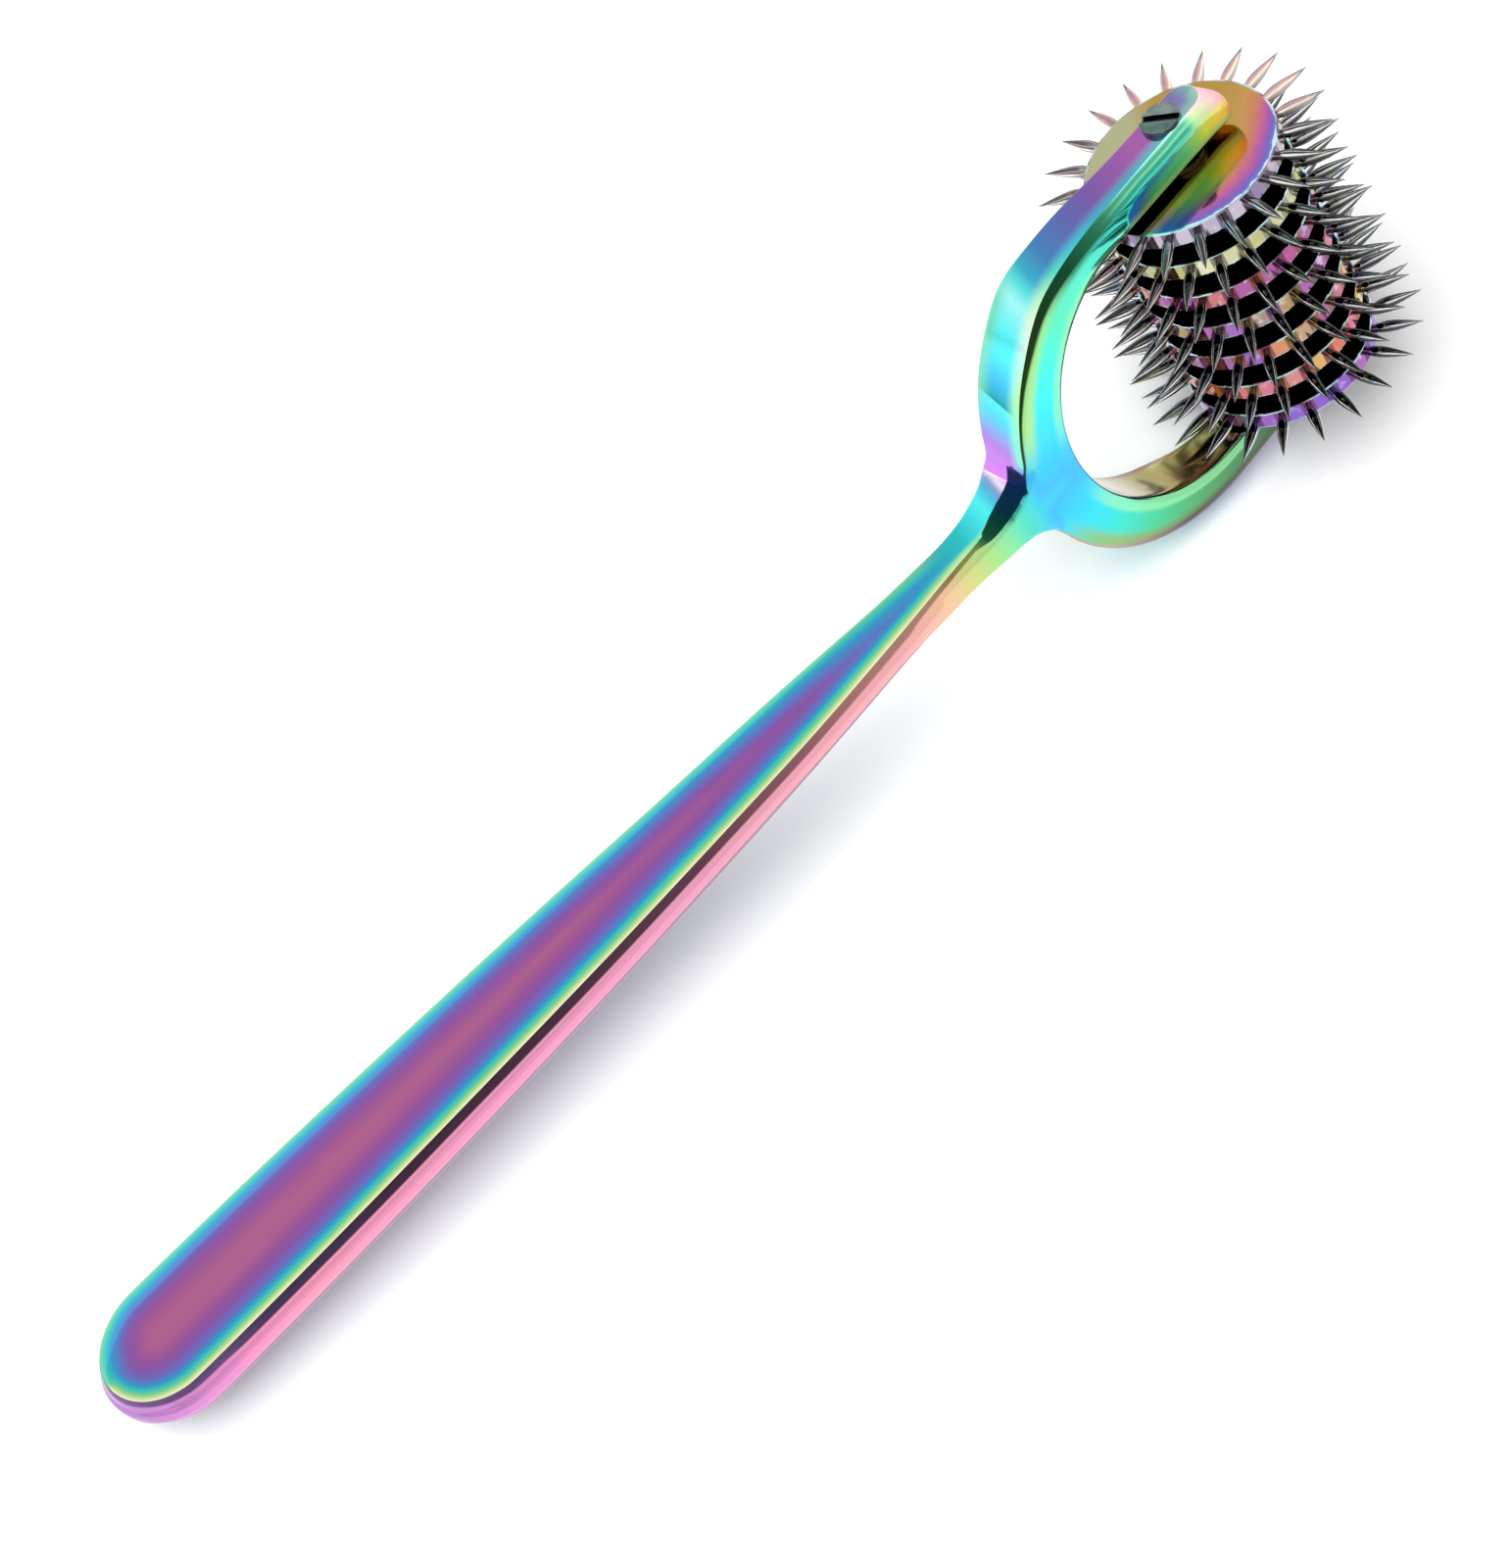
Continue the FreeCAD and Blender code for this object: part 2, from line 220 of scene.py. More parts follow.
def pick(piece, wanted):
    """Selects the points whose place is wanted, with the faces that lie between them."""
    bpy.ops.mesh.select_mode(type="VERT")
    bpy.ops.mesh.select_all(action="DESELECT")
    mesh = bmesh.from_edit_mesh(piece.data)
    for point in mesh.verts:
        if wanted(point.co):
            point.select_set(True)
    mesh.select_flush(True)
    bmesh.update_edit_mesh(piece.data)


def pick_faces(piece, wanted):
    """Selects the faces whose middle and normal are wanted."""
    bpy.ops.mesh.select_all(action="DESELECT")
    bpy.ops.mesh.select_mode(type="FACE")
    mesh = bmesh.from_edit_mesh(piece.data)
    for face in mesh.faces:
        if wanted(face.calc_center_median(), face.normal):
            face.select_set(True)
    bmesh.update_edit_mesh(piece.data)


def stretch(size, centre):
    bpy.ops.transform.resize(value=size, center_override=centre)


def draw_out(step):
    bpy.ops.mesh.extrude_region_move(TRANSFORM_OT_translate={"value": step})


def round_off(place, parts, way, wanted=lambda c: True):
    """Spins the upper half of a flat end down round its middle, and takes the flat away."""
    pick_faces(forging, lambda c, n: abs(c.x - place) < tiny and c.z > 0 and wanted(c))
    bpy.ops.mesh.spin(steps=parts, angle=math.pi, center=(place, 0, 0), axis=(0, way, 0))
    bpy.ops.mesh.delete(type="ONLY_FACE")
    pick_faces(forging, lambda c, n: abs(c.x - place) < tiny and abs(n.x) > 0.9 and wanted(c))
    bpy.ops.mesh.delete(type="ONLY_FACE")


def close_up():
    """Joins the points that lie on one another and turns every face outwards."""
    bpy.ops.mesh.select_all(action="SELECT")
    bpy.ops.mesh.remove_doubles(threshold=tiny / 4)
    bpy.ops.mesh.delete_loose()
    bpy.ops.mesh.select_all(action="SELECT")
    bpy.ops.mesh.normals_make_consistent(inside=False)


bpy.ops.object.select_all(action="DESELECT")
bpy.ops.mesh.primitive_grid_add(
    x_subdivisions=6, y_subdivisions=3, size=2,
    location=(tip_centre, tine_middle, 0), rotation=(0, math.pi / 2, 0))
forging = bpy.context.object
forging.name = "forged_fork_and_handle"
bpy.ops.object.transform_apply(location=True, rotation=True, scale=True)
forging.vertex_groups.new(name="ridge")
bpy.ops.object.mode_set(mode="EDIT")
bpy.ops.mesh.select_mode(type="VERT")
bpy.ops.mesh.select_all(action="SELECT")
start = (tip_centre, tine_middle, 0)
stretch((1, (outer_wall - inner_wall) / 2, half_height), start)
third = (outer_wall - inner_wall) / 3
pick(forging, lambda p: abs(p.y - outer_wall + third) < third / 2)
bpy.ops.transform.translate(value=(0, third - outer_bevel, 0))
pick(forging, lambda p: abs(p.y - inner_wall - third) < third / 2)
bpy.ops.transform.translate(value=(0, inner_bevel - third, 0))
pick(forging, lambda p: p.y > outer_wall - tiny)
stretch((1, 1, ridge_share), start)
pick(forging, lambda p: p.y < inner_wall + tiny)
stretch((1, 1, inner_ridge_share), start)
pick(forging, lambda p: p.y > outer_wall - tiny and abs(p.z) > half_height * ridge_share - tiny)
bpy.ops.object.vertex_group_assign()

bpy.ops.mesh.select_all(action="SELECT")
tine_step = (bow_centre - tip_centre) / tine_parts
for part in range(tine_parts):
    draw_out((tine_step, 0, 0))
bpy.ops.mesh.spin(steps=bow_parts, angle=math.pi, center=(bow_centre, 0, 0), axis=(0, 0, -1))
for part in range(tine_parts):
    draw_out((-tine_step, 0, 0))


# degrees round the bow, and how many mm the outer ridges lie from the middle plane there
near_lower = ((-25, 2.14), (-10, 2.45), (0, 2.9), (12, 3.25), (17, 3.45), (22, 3.75), (27, 4.0),
              (50, 4.0), (60, 3.85), (73, 3.5), (90, 3.5))
far_lower = ((-25, 2.14), (0, 2.5), (10, 2.85), (15, 3.3), (20, 3.75), (27, 4.0),
             (50, 4.0), (60, 3.85), (73, 3.5), (90, 3.5))
upper = ((-25, 2.14), (0, 2.4), (20, 2.6), (40, 2.75), (90, 2.75))


def read_off(table, value):
    """The value of a table at a place between its rows."""
    for (low, first), (high, second) in zip(table, table[1:]):
        if value < high:
            return first + (second - first) * max(0, value - low) / (high - low)
    return second


def ridge_height(place, above):
    turn = math.degrees(math.atan2(bow_centre - place.x, abs(place.y)))
    return read_off(upper if above else near_lower if place.y > 0 else far_lower, turn)


# how much the bevel, the inner wall and the width follow where the outer ridge is higher
bevel_follows = 0.25
inner_wall_follows = 0.40
width_follows = 0.047
for number in range(-tine_parts, bow_parts + 1 + tine_parts):
    turn = math.radians(part_degrees * min(bow_parts, max(0, number)))
    beyond = min(0, number) if number < bow_parts / 2 else min(0, bow_parts - number)
    middle = Vector((bow_centre + tine_step * beyond, math.cos(turn) * tine_middle, 0))
    middle.x -= math.sin(turn) * tine_middle

    def in_section(p):
        if beyond:
            return abs(p.x - middle.x) < tiny and p.y * middle.y > 0
        return p.x < bow_centre + tiny and abs(math.atan2(bow_centre - p.x, p.y) - turn) < same_turn

    def radius(p):
        return abs(p.y) if beyond else math.hypot(p.x - bow_centre, p.y)

    lower, above = ridge_height(middle, False), ridge_height(middle, True)
    centre = (middle.x if beyond else bow_centre, 0, 0)
    wall = outer_wall - tiny
    inside = inner_wall + tiny
    ridge = half_height * ridge_share / mm
    pick(forging, lambda p: in_section(p) and radius(p) > wall and p.z < -tiny)
    stretch((1, 1, lower / ridge), centre)
    pick(forging, lambda p: in_section(p) and radius(p) > wall and p.z > tiny)
    stretch((1, 1, above / ridge), centre)
    pick(forging, lambda p: in_section(p) and inside < radius(p) < wall and p.z < -tiny)
    stretch((1, 1, 1 + bevel_follows * (lower - ridge)), centre)
    pick(forging, lambda p: in_section(p) and radius(p) < inside and p.z < -tiny)
    stretch((1, 1, 1 + inner_wall_follows * (lower - ridge)), centre)
    narrower = 1 + width_follows * (above - ridge)
    pick(forging, lambda p: in_section(p) and outer_part < radius(p) < wall)
    stretch((narrower, narrower, 1), centre)

for side in (1, -1):
    round_off(tip_centre, end_parts, -1, lambda c: c.y * side > 0)
close_up()

# the ends of the tines are fuller than half a circle: at each part of it, below and above
end_fullness = ((1, 1.06, 1.14), (2, 1.20, 1.42), (3, 1.36, 1.56), (4, 1.17, 1.22), (5, 1.04, 1.04))
outer_face = 21.5 * mm
for part, fuller_below, fuller_above in end_fullness:
    for side, fuller in ((-1, fuller_below), (1, fuller_above)):
        turn = side * part * math.pi / end_parts
        pick(forging, lambda p: p.x > tip_centre + tiny and abs(p.y) < outer_face
             and abs(math.atan2(p.z, p.x - tip_centre) - turn) < 0.05)
        stretch((fuller, 1, fuller), (tip_centre, 0, 0))

pick(forging, lambda p: p.x < bow_centre - tiny
     and math.hypot(p.x - bow_centre, p.y) > outer_wall - outer_bevel - tiny)
stretch((bow_stretch, 1, 1), (bow_centre, 0, 0))

# place along the axis, half thickness at the ridges, crown, and for the side away from the camera
# and the side towards it the half width at the ridge and the bulge beyond it
neck_root = (-36.6, 5.16, 0.0, (3.5, 0.55), (2.75, 0.4))
neck_and_handle = (
    (-37.7, 3.75, 0.0, (3.30, 0.80), (1.70, 1.45)),
    (-38.8, 2.95, 0.0, (3.10, 0.80), (0.90, 2.20)),
    (-40.0, 2.50, 0.0, (2.95, 0.80), (0.62, 2.38)),
    (-41.6, 2.17, 0.0, (2.80, 0.75), (0.66, 2.28)),
    (-43.6, 1.92, 0.0, (2.65, 0.70), (0.86, 1.95)),
    (-46.0, 1.74, 0.03, (2.50, 0.62), (1.00, 1.65)),
    (-48.5, 1.64, 0.06, (2.50, 0.55), (1.15, 1.45)),
    (-52.0, 1.60, 0.10, (2.75, 0.50), (1.55, 1.30)),
    (-57.0, 1.60, 0.20, (3.20, 0.48), (2.30, 1.10)),
    (-64.0, 1.65, 0.30, (3.80, 0.50), (3.15, 1.00)),
    (-74.0, 1.80, 0.45, (4.55, 0.62), (4.45, 0.80)),
    (-87.0, 1.95, 0.60, (5.00, 0.75), (5.32, 0.78)),
    (-97.0, 2.02, 0.70, (5.62, 0.85), (6.00, 0.85)),
    (-107.0, 2.12, 0.78, (6.20, 0.92), (6.60, 0.92)),
    (-127.0, 2.26, 0.86, (7.00, 1.00), (7.38, 1.00)),
    (-147.0, 2.28, 0.90, (7.80, 1.05), (8.00, 1.05)),
    (-166.0, 2.28, 0.90, (8.12, 1.05), (8.12, 1.05)),
)
bend_place = -44.0 * mm
bend_angle = math.radians(6.1)


def at(place):
    """A test for points of the section at one place."""
    return lambda p: abs(p.x - place) < tiny


# where the handle begins, its flanks are rounder: from and to which share of the half thickness,
# and how far they are drawn in there. The crown is full over the middle half of the width
rounder_places = (-57.0, -74.0)
rounder_flank = ((0.65, 1.1, 0.66, 0.87), (0.4, 0.65, 0.87, 0.9))
crown_parts = ((0.0, 0.5, 1.0), (0.5, 0.9, 0.8))
bow_back = -33 * mm
neck_reach = 5.3 * mm
pick_faces(forging, lambda c, n: c.x < bow_back and abs(c.y) < neck_reach and n.x < -0.3)
was_place, was_thick, was_crown, *was_sides = neck_root
for station in neck_and_handle:
    place, thick, crown, *sides = station
    draw_out(((place - was_place) * mm, 0, 0))
    x = place * mm
    here = (x, 0, 0)
    if station is neck_and_handle[0]:
        stretch((0, 1, 1), here)
    stretch((1, thick / was_thick, 1), here)
    half_thick = thick * mm
    for side, (wide, bulge), (was_wide, was_bulge) in zip((-1, 1), sides, was_sides):
        edge = wide * mm
        pick(forging, lambda p: at(x)(p) and p.z * side > tiny)
        stretch((1, 1, wide / was_wide), here)
        pick(forging, lambda p: at(x)(p) and p.z * side > edge + tiny)
        stretch((1, 1, bulge / was_bulge * was_wide / wide), (x, 0, side * edge))
        if place in rounder_places:
            for low, high, lower, closer in rounder_flank:
                pick(forging, lambda p: at(x)(p) and p.z * side > edge + tiny
                     and low < abs(p.y) / half_thick < high)
                stretch((1, closer, lower), (x, 0, side * edge))
        for low, high, share in crown_parts:
            pick(forging, lambda p: at(x)(p) and p.z * side > tiny
                 and edge * low < p.z * side < edge * high)
            now = thick * (1 + share * was_crown / was_thick)
            stretch((1, (thick + share * crown) / now, 1), here)
    pick(forging, lambda p: at(x)(p) and abs(p.z) < tiny)
    stretch((1, (thick + crown) / (thick * (1 + was_crown / was_thick)), 1), here)
    pick(forging, at(x))
    was_place, was_thick, was_crown, was_sides = place, thick, crown, sides

# the far flank is drawn in to the bulge of the near one, so that the round end closes all round
end_centre = was_place * mm
far_ridge = -was_sides[0][0] * mm
flank_fit = 0.7648
handle_end_parts = 18
pick(forging, lambda p: at(end_centre)(p) and p.z < far_ridge - tiny)
stretch((1, 1, flank_fit), (end_centre, 0, far_ridge))
round_off(end_centre, handle_end_parts, 1)
close_up()

bpy.ops.object.mode_set(mode="OBJECT")
# each point carries two lengths in mm that the paint is laid on by. The bow counts 23 mm for every
# radian that it turns, and the neck's root lies 60 mm along the surface from the axle
bow_run_per_radian = 23.0
neck_run = 60.0
bow = bow_centre / mm
tip = tip_centre / mm
ring_edge = outer_wall / mm
grain = tiny / mm
neck_start = -34.0
root_drop = 1.0
side_drop = 0.4


def run_and_edge(point):
    """How far along the surface a point lies from the axle, and how far inside the nearest ridge."""
    x, y, z = (part / mm for part in point)
    high, across = abs(z), abs(y)
    root_place, root_thick = neck_root[:2]
    if x > root_place - 0.05:
        turn = math.atan2(max(0, bow - x) / bow_stretch, across)
        ring_radius = across if x > bow else math.hypot(x - bow, y)
        if ring_radius > inner_part / mm and x < bow:
            ring_radius = math.hypot((x - bow) / bow_stretch, y)
        if x > tip:
            high = math.hypot(x - tip, z)
        if ring_radius > ring_edge - 0.1:
            ridge = half_height * ridge_share / mm
            edge = ridge - high * ridge / ridge_height(point, z > 0)
        elif x < neck_start and across < root_thick + 2 * grain:
            edge = -math.hypot(root_thick - across, root_drop)
        else:
            edge = ring_radius - ring_edge - side_drop
        return bow_run_per_radian * turn - max(x, bow), edge
    for station in neck_and_handle:
        if x > station[0] - grain / 2:
            break
    thick, wide = station[1], station[3 if z < 0 else 4][0]
    if x < station[0] - grain / 2:
        high = math.hypot(x - station[0], z)
    if high > wide + grain:
        edge = -math.hypot(thick - across, high - wide)
    else:
        edge = wide - high
    return neck_run + root_place - x, edge


runs = forging.data.attributes.new("run", "FLOAT", "POINT")
edges = forging.data.attributes.new("edge", "FLOAT", "POINT")
for point in forging.data.vertices:
    runs.data[point.index].value, edges.data[point.index].value = run_and_edge(point.co)

# broad faces are first, with the flank on the side away from the camera, which is painted like
# them; the inner walls of the fork are third, and the flat sides and the bevels come between
broad_limit = -0.01
far_flank_limit = -1.6
inner_wall_limit = -5.1
fork_back = -31.0
underside = -4.5
for face in forging.data.polygons:
    x, y, z = (part / mm for part in face.center)
    values = [run_and_edge(forging.data.vertices[corner].co)[1] for corner in face.vertices]
    far_flank = z < 0 < y and (x > was_place or z < underside)
    if min(values) > broad_limit or far_flank and min(values) > far_flank_limit:
        face.material_index = 0
    elif x > fork_back and max(values) < inner_wall_limit:
        face.material_index = 2
    else:
        face.material_index = 1
bpy.ops.object.mode_set(mode="EDIT")

# the near side of the bow bulges where the tine runs into it, and the bow is broader by the neck
bulges = ((4, 0), (12, 0.15), (17, 0.35), (22, 0.6), (27, 0.75), (33, 0.6), (38, 0.4), (44, 0.2),
          (60, 0))
bulge_parts = 14
for part in range(1, bulge_parts):
    turn = math.radians(part_degrees * part)
    wider = 1 + read_off(bulges, part_degrees * part) * mm / outer_wall
    pick(forging, lambda p: p.y > 0 and math.hypot(p.x - bow_centre, p.y) > outer_part
         and (abs(math.atan2((bow_centre - p.x) / bow_stretch, p.y) - turn) < same_turn))
    stretch((wider, wider, 1), (bow_centre, 0, 0))
inner_bow_stretch = 0.97
pick(forging, lambda p: p.x < bow_centre - tiny and math.hypot(p.x - bow_centre, p.y) < inner_part)
stretch((inner_bow_stretch, 1, 1), (bow_centre, 0, 0))

handle_start = -45 * mm
half_bent = -43.6 * mm
pick(forging, lambda p: p.x < handle_start)
bpy.ops.transform.rotate(value=bend_angle, orient_axis="Y", center_override=(bend_place, 0, 0))
pick(forging, lambda p: abs(p.x - half_bent) < 0.2 * mm)
bpy.ops.transform.rotate(value=bend_angle / 2, orient_axis="Y", center_override=(bend_place, 0, 0))
bpy.ops.mesh.select_all(action="DESELECT")
bpy.ops.object.vertex_group_select()
bpy.ops.transform.edge_crease(value=0.8)
bpy.ops.mesh.select_all(action="DESELECT")
bpy.ops.object.mode_set(mode="OBJECT")

smooth = forging.modifiers.new("smooth", "SUBSURF")
smooth.levels = smooth.render_levels = 2
only(forging)
bpy.ops.object.modifier_apply(modifier="smooth")
bpy.ops.object.shade_smooth()
lay_down(forging)
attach(forging, "holder")
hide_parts("fork_handle")


# Fork and handle: broad faces
# The coating is thickest in the middle of the handle, mauve, and runs through blue and green to
# cream at the ridge, where the cream is a painted highlight; round the fork it goes from purple
# through turquoise and lavender. Ramps give the colours along and across the surface.
def tint(text):
    """A colour given as written in a drawing program, as the shaders count it."""
    parts = [int(text[start:start + 2], 16) / 255 for start in (0, 2, 4)]
    linear = [part / 12.92 if part < 0.04045 else ((part + 0.055) / 1.055) ** 2.4 for part in parts]
    return (*linear, 1)


def ramp(tree, value, stops):
    """Colours or numbers at places along a value."""
    low, high = stops[0][0], stops[-1][0]
    inputs = {"Value": value, "From Min": low, "From Max": high}
    share = add(tree, "ShaderNodeMapRange", inputs).outputs[0]
    node = add(tree, "ShaderNodeValToRGB", {"Fac": share})
    points = node.color_ramp.elements
    while len(points) < len(stops):
        points.new(0.5)
    for point, (place, colour) in zip(points, stops):
        point.position = (place - low) / (high - low)
        point.color = tint(colour) if isinstance(colour, str) else (colour, colour, colour, 1)
    return node.outputs[0]


def overlap(tree, mask, *others):
    """Where all the masks hold, each as far as it does."""
    for other in others:
        mask = calc(tree, "MULTIPLY", mask, other)
    return mask


def mixed(tree, factor, first, second, blend="MIX"):
    inputs = {0: factor, 6: first, 7: second}
    return add(tree, "ShaderNodeMix", inputs, data_type="RGBA", blend_type=blend).outputs[2]


def polished(name, roughness):
    """A new metal: its node tree and the shader whose base colour is to be drawn."""
    material = bpy.data.materials.new(name)
    material.use_nodes = True
    shader = material.node_tree.nodes["Principled BSDF"]
    shader.inputs["Metallic"].default_value = 1.0
    shader.inputs["Roughness"].default_value = roughness
    return material, material.node_tree, shader


def square_place(tree):
    """The place on the instrument in millimetres, standing square on the axle."""
    spot = add(tree, "ShaderNodeTexCoord").outputs["Object"]
    turn_back = square.transposed()
    shift = turn_back @ (-Vector(spin["pos_m"]) / mm)
    inputs = {"Vector": spot, "Location": shift, "Rotation": turn_back.to_euler(), "Scale": (1 / mm,) * 3}
    return add(tree, "ShaderNodeMapping", inputs, vector_type="POINT").outputs[0]


def apart(tree, place):
    """The x, y and z of a place."""
    return add(tree, "ShaderNodeSeparateXYZ", {0: place}).outputs[:]


def level_on_handle(tree, x, z):
    """The height over the middle plane of the forging, which is bent at the neck."""
    behind = calc(tree, "MINIMUM", calc(tree, "ADD", x, -bend_place / mm), 0.0)
    return calc(tree, "SUBTRACT", z, calc(tree, "MULTIPLY", behind, math.sin(bend_angle)))


def mottle(tree, place, scale, detail=2.0):
    """Soft irregular patches, from about -1 to 1."""
    inputs = {"Vector": place, "Scale": scale, "Detail": detail}
    noise = add(tree, "ShaderNodeTexNoise", inputs).outputs["Fac"]
    return calc(tree, "MULTIPLY_ADD", noise, 4.0, -2.0)


def carried(tree, name):
    """A number that the piece carries at its points."""
    return add(tree, "ShaderNodeAttribute", attribute_name=name).outputs["Fac"]


coating = bpy.data.node_groups.new("rainbow_coating", "ShaderNodeTree")
coating.interface.new_socket("Layer", in_out="INPUT", socket_type="NodeSocketFloat")
coating.interface.new_socket("Colour", in_out="OUTPUT", socket_type="NodeSocketColor")
layer = coating.nodes.new("NodeGroupInput")
coated = coating.nodes.new("NodeGroupOutput")
# the cream at the thin end, which the ridge nearer the camera gets, is a painted highlight
coating.links.new(ramp(coating, layer.outputs[0], (
    (0.00, "fffce0"), (0.07, "e8f0b4"), (0.16, "b4dc92"), (0.26, "70ca96"), (0.35, "48c4b0"),
    (0.43, "34b2c4"), (0.51, "3a94c6"), (0.59, "587ec4"), (0.67, "6f6aba"), (0.75, "8658a8"),
    (0.85, "985698"), (1.00, "b0628e"))), coated.inputs[0])


def layer_colour(tree, value):
    group = tree.nodes.new("ShaderNodeGroup")
    group.node_tree = coating
    tree.links.new(value, group.inputs[0])
    return group.outputs[0]


broad_metal, tree, shader = polished("coated_broad_faces", 0.07)
place = square_place(tree)
x, y, z = apart(tree, place)
run = carried(tree, "run")
edge = carried(tree, "edge")
level = level_on_handle(tree, x, z)
patches = mottle(tree, place, 0.09)
plus_side = ramp(tree, edge, ((0.0, 0.02), (0.25, 0.10), (0.8, 0.25), (1.5, 0.46), (2.3, 0.64),
                              (3.5, 0.76), (4.7, 0.86), (6.2, 0.97), (8.0, 1.0)))
minus_side = ramp(tree, edge, ((0.0, 0.25), (0.7, 0.35), (1.3, 0.44), (2.3, 0.55), (3.5, 0.70),
                               (4.7, 0.80), (6.2, 0.92), (8.0, 1.0)))
side_share = between(tree, level, -1.0, 1.0)
layer = mixed(tree, side_share, minus_side, plus_side)
layer = calc(tree, "MULTIPLY_ADD", patches, 0.02, layer)
handle_colour = layer_colour(tree, layer)
slanted = calc(tree, "MULTIPLY_ADD", z, -0.3, run)
# round the bow, the near white from run 24 to 31 is a painted highlight, the dark teal at 36.6 a painted
# shade in a crease, and the white at 61.9 a painted highlight band
wall_middle = ramp(tree, slanted, (
    (-6.0, "8cc8a8"), (-4.6, "7fa8b0"), (-3.0, "8078b0"), (-1.0, "9464ae"), (4.0, "a860a8"),
    (8.0, "925ca8"), (12.0, "7a5ca8"), (16.0, "5e6cb2"), (20.0, "4a84bc"), (22.5, "3cb0cc"),
    (24.0, "60e8e4"), (25.5, "a8fcfc"), (27.0, "88f8f8"), (29.0, "5cf8fa"), (31.0, "58eef8"),
    (33.5, "4cc6f0"), (35.4, "38b0d0"), (36.3, "2ca4b4"), (36.6, "148490"), (36.8, "5ce8f0"),
    (38.5, "54d4f8"), (40.6, "88a8f0"), (42.4, "b080dc"), (44.0, "c484e4"), (60.6, "d884f4"),
    (61.9, "f4eafa"), (62.6, "8c9ccc"), (63.3, "58b8e2"), (64.9, "54f4f8"), (66.8, "44dee4"),
    (69.4, "30c0c4"), (73.4, "2ca8bc")))
# along the ridge round the bow, the pale cream and mint from run 24 to 32 are a painted highlight, and the
# white at 61.9 a painted highlight band
wall_ridge = ramp(tree, run, (
    (-6.0, "a8d8b0"), (-3.0, "90b8b8"), (3.0, "6cb4c4"), (8.0, "4fa8c4"), (14.0, "48b0c8"),
    (18.0, "4cc8d4"), (21.0, "60e0c4"), (24.0, "c0f8cc"), (26.5, "e8fcdc"), (29.0, "e4fcf0"),
    (32.0, "b8fcd8"), (35.0, "b4f8a8"), (38.0, "98f8c0"), (41.0, "8cf4cc"), (43.5, "88ecd0"),
    (43.9, "80b4e0"), (46.0, "7880c8"), (60.5, "6868c0"), (61.9, "f0f4fc"), (63.4, "80c4d0"),
    (65.0, "90fcec"), (67.9, "84e8b0"), (70.0, "bcf0a8"), (73.4, "b0e8a8")))
near_ridge = overlap(tree, between(tree, edge, 1.9, 0.1), between(tree, level, -0.2, 0.6))
wall_colour = mixed(tree, near_ridge, wall_middle, wall_ridge)
green_edge = overlap(tree, between(tree, z, -1.4, -4.3), between(tree, run, 20.0, 27.0),
                     between(tree, run, 41.0, 35.0))
wall_colour = mixed(tree, green_edge, wall_colour, tint("80dcb4"))
# a painted dark reflection crosses the neck as a band, from shade_start up to shade_end
shade = ramp(tree, run, ((44.0, "405088"), (45.5, "282c5c"), (49.6, "181c48"), (60.8, "102450"),
                         (62.5, "0b2a48"), (64.0, "05343c"), (66.0, "0a4230"), (68.6, "205c3c")))
shade_start = ramp(tree, run, ((43.0, 5.0), (43.6, 2.4), (44.4, 0.8), (61.0, 1.10), (62.2, 0.85),
                               (63.4, 0.75), (65.0, 0.95), (67.0, 1.5), (68.6, 3.2), (70.0, 5.0)))
shade_end = ramp(tree, run, ((43.4, 1.2), (44.4, 2.2), (46.0, 3.0), (49.6, 4.0), (61.1, 5.0),
                             (62.0, 6.0)))
raised = calc(tree, "ADD", level, 1.0)
into_shade = calc(tree, "SUBTRACT", raised, shade_start)
before_end = calc(tree, "SUBTRACT", shade_end, raised)
into_shade = calc(tree, "MINIMUM", into_shade, before_end)
wall_colour = mixed(tree, between(tree, into_shade, -0.12, 0.12), wall_colour, shade)
colour = mixed(tree, between(tree, run, 69.0, 77.0), wall_colour, handle_colour)
tree.links.new(colour, shader.inputs["Base Color"])
forging.data.materials.append(broad_metal)

# Fork and handle: flat sides
# The flat of the fork is turquoise with sky blue where the neck leaves it and green along its edges.
# A painted dark reflection lies on the bevel beneath each ridge, and the sides of the handle are pink.
side_metal, tree, shader = polished("coated_sides", 0.07)
place = square_place(tree)
x, y, z = apart(tree, place)
run = carried(tree, "run")
deep = calc(tree, "MULTIPLY", carried(tree, "edge"), -1.0)
level = level_on_handle(tree, x, z)
patches = mottle(tree, place, 0.12)
near_flat = ramp(tree, run, (
    (-6.6, "fcd060"), (-4.8, "fcec58"), (-3.4, "ecfc58"), (-1.5, "a8f868"), (0.8, "5ce89c"),
    (4.0, "48e0c0"), (9.0, "40dccc"), (14.0, "4ce0cc"), (20.0, "64f0cc"), (26.0, "66f0c4"),
    (30.0, "58fadc"), (36.0, "48f0f2"), (41.0, "47e0f2"), (45.0, "44ccf6"), (49.0, "4cbcfa"),
    (60.5, "4cd0e8"), (63.0, "58dcc4"), (65.5, "80e0a8"), (68.0, "a8dc8c"), (71.0, "c8d084"),
    (75.0, "ecc09c"), (81.0, "f4b0ac")))
# the far tine lies by the table: its flat is painted darker and greyer towards the tip, a painted shade
far_flat = ramp(tree, run, (
    (-6.0, "585c54"), (5.0, "4c5c50"), (11.0, "54805c"), (17.0, "5c9c64"), (23.0, "5cb478"),
    (29.0, "54d09c"), (35.0, "48e0cc"), (41.0, "40def0"), (45.0, "42d0f6"), (49.0, "4cbcfa"),
    (60.5, "4cd0e8"), (63.0, "58dcc4"), (65.5, "88e8a4"), (68.0, "a8e48c"), (71.0, "d4d88c"),
    (75.0, "f0c49c"), (81.0, "f4b0ac")))
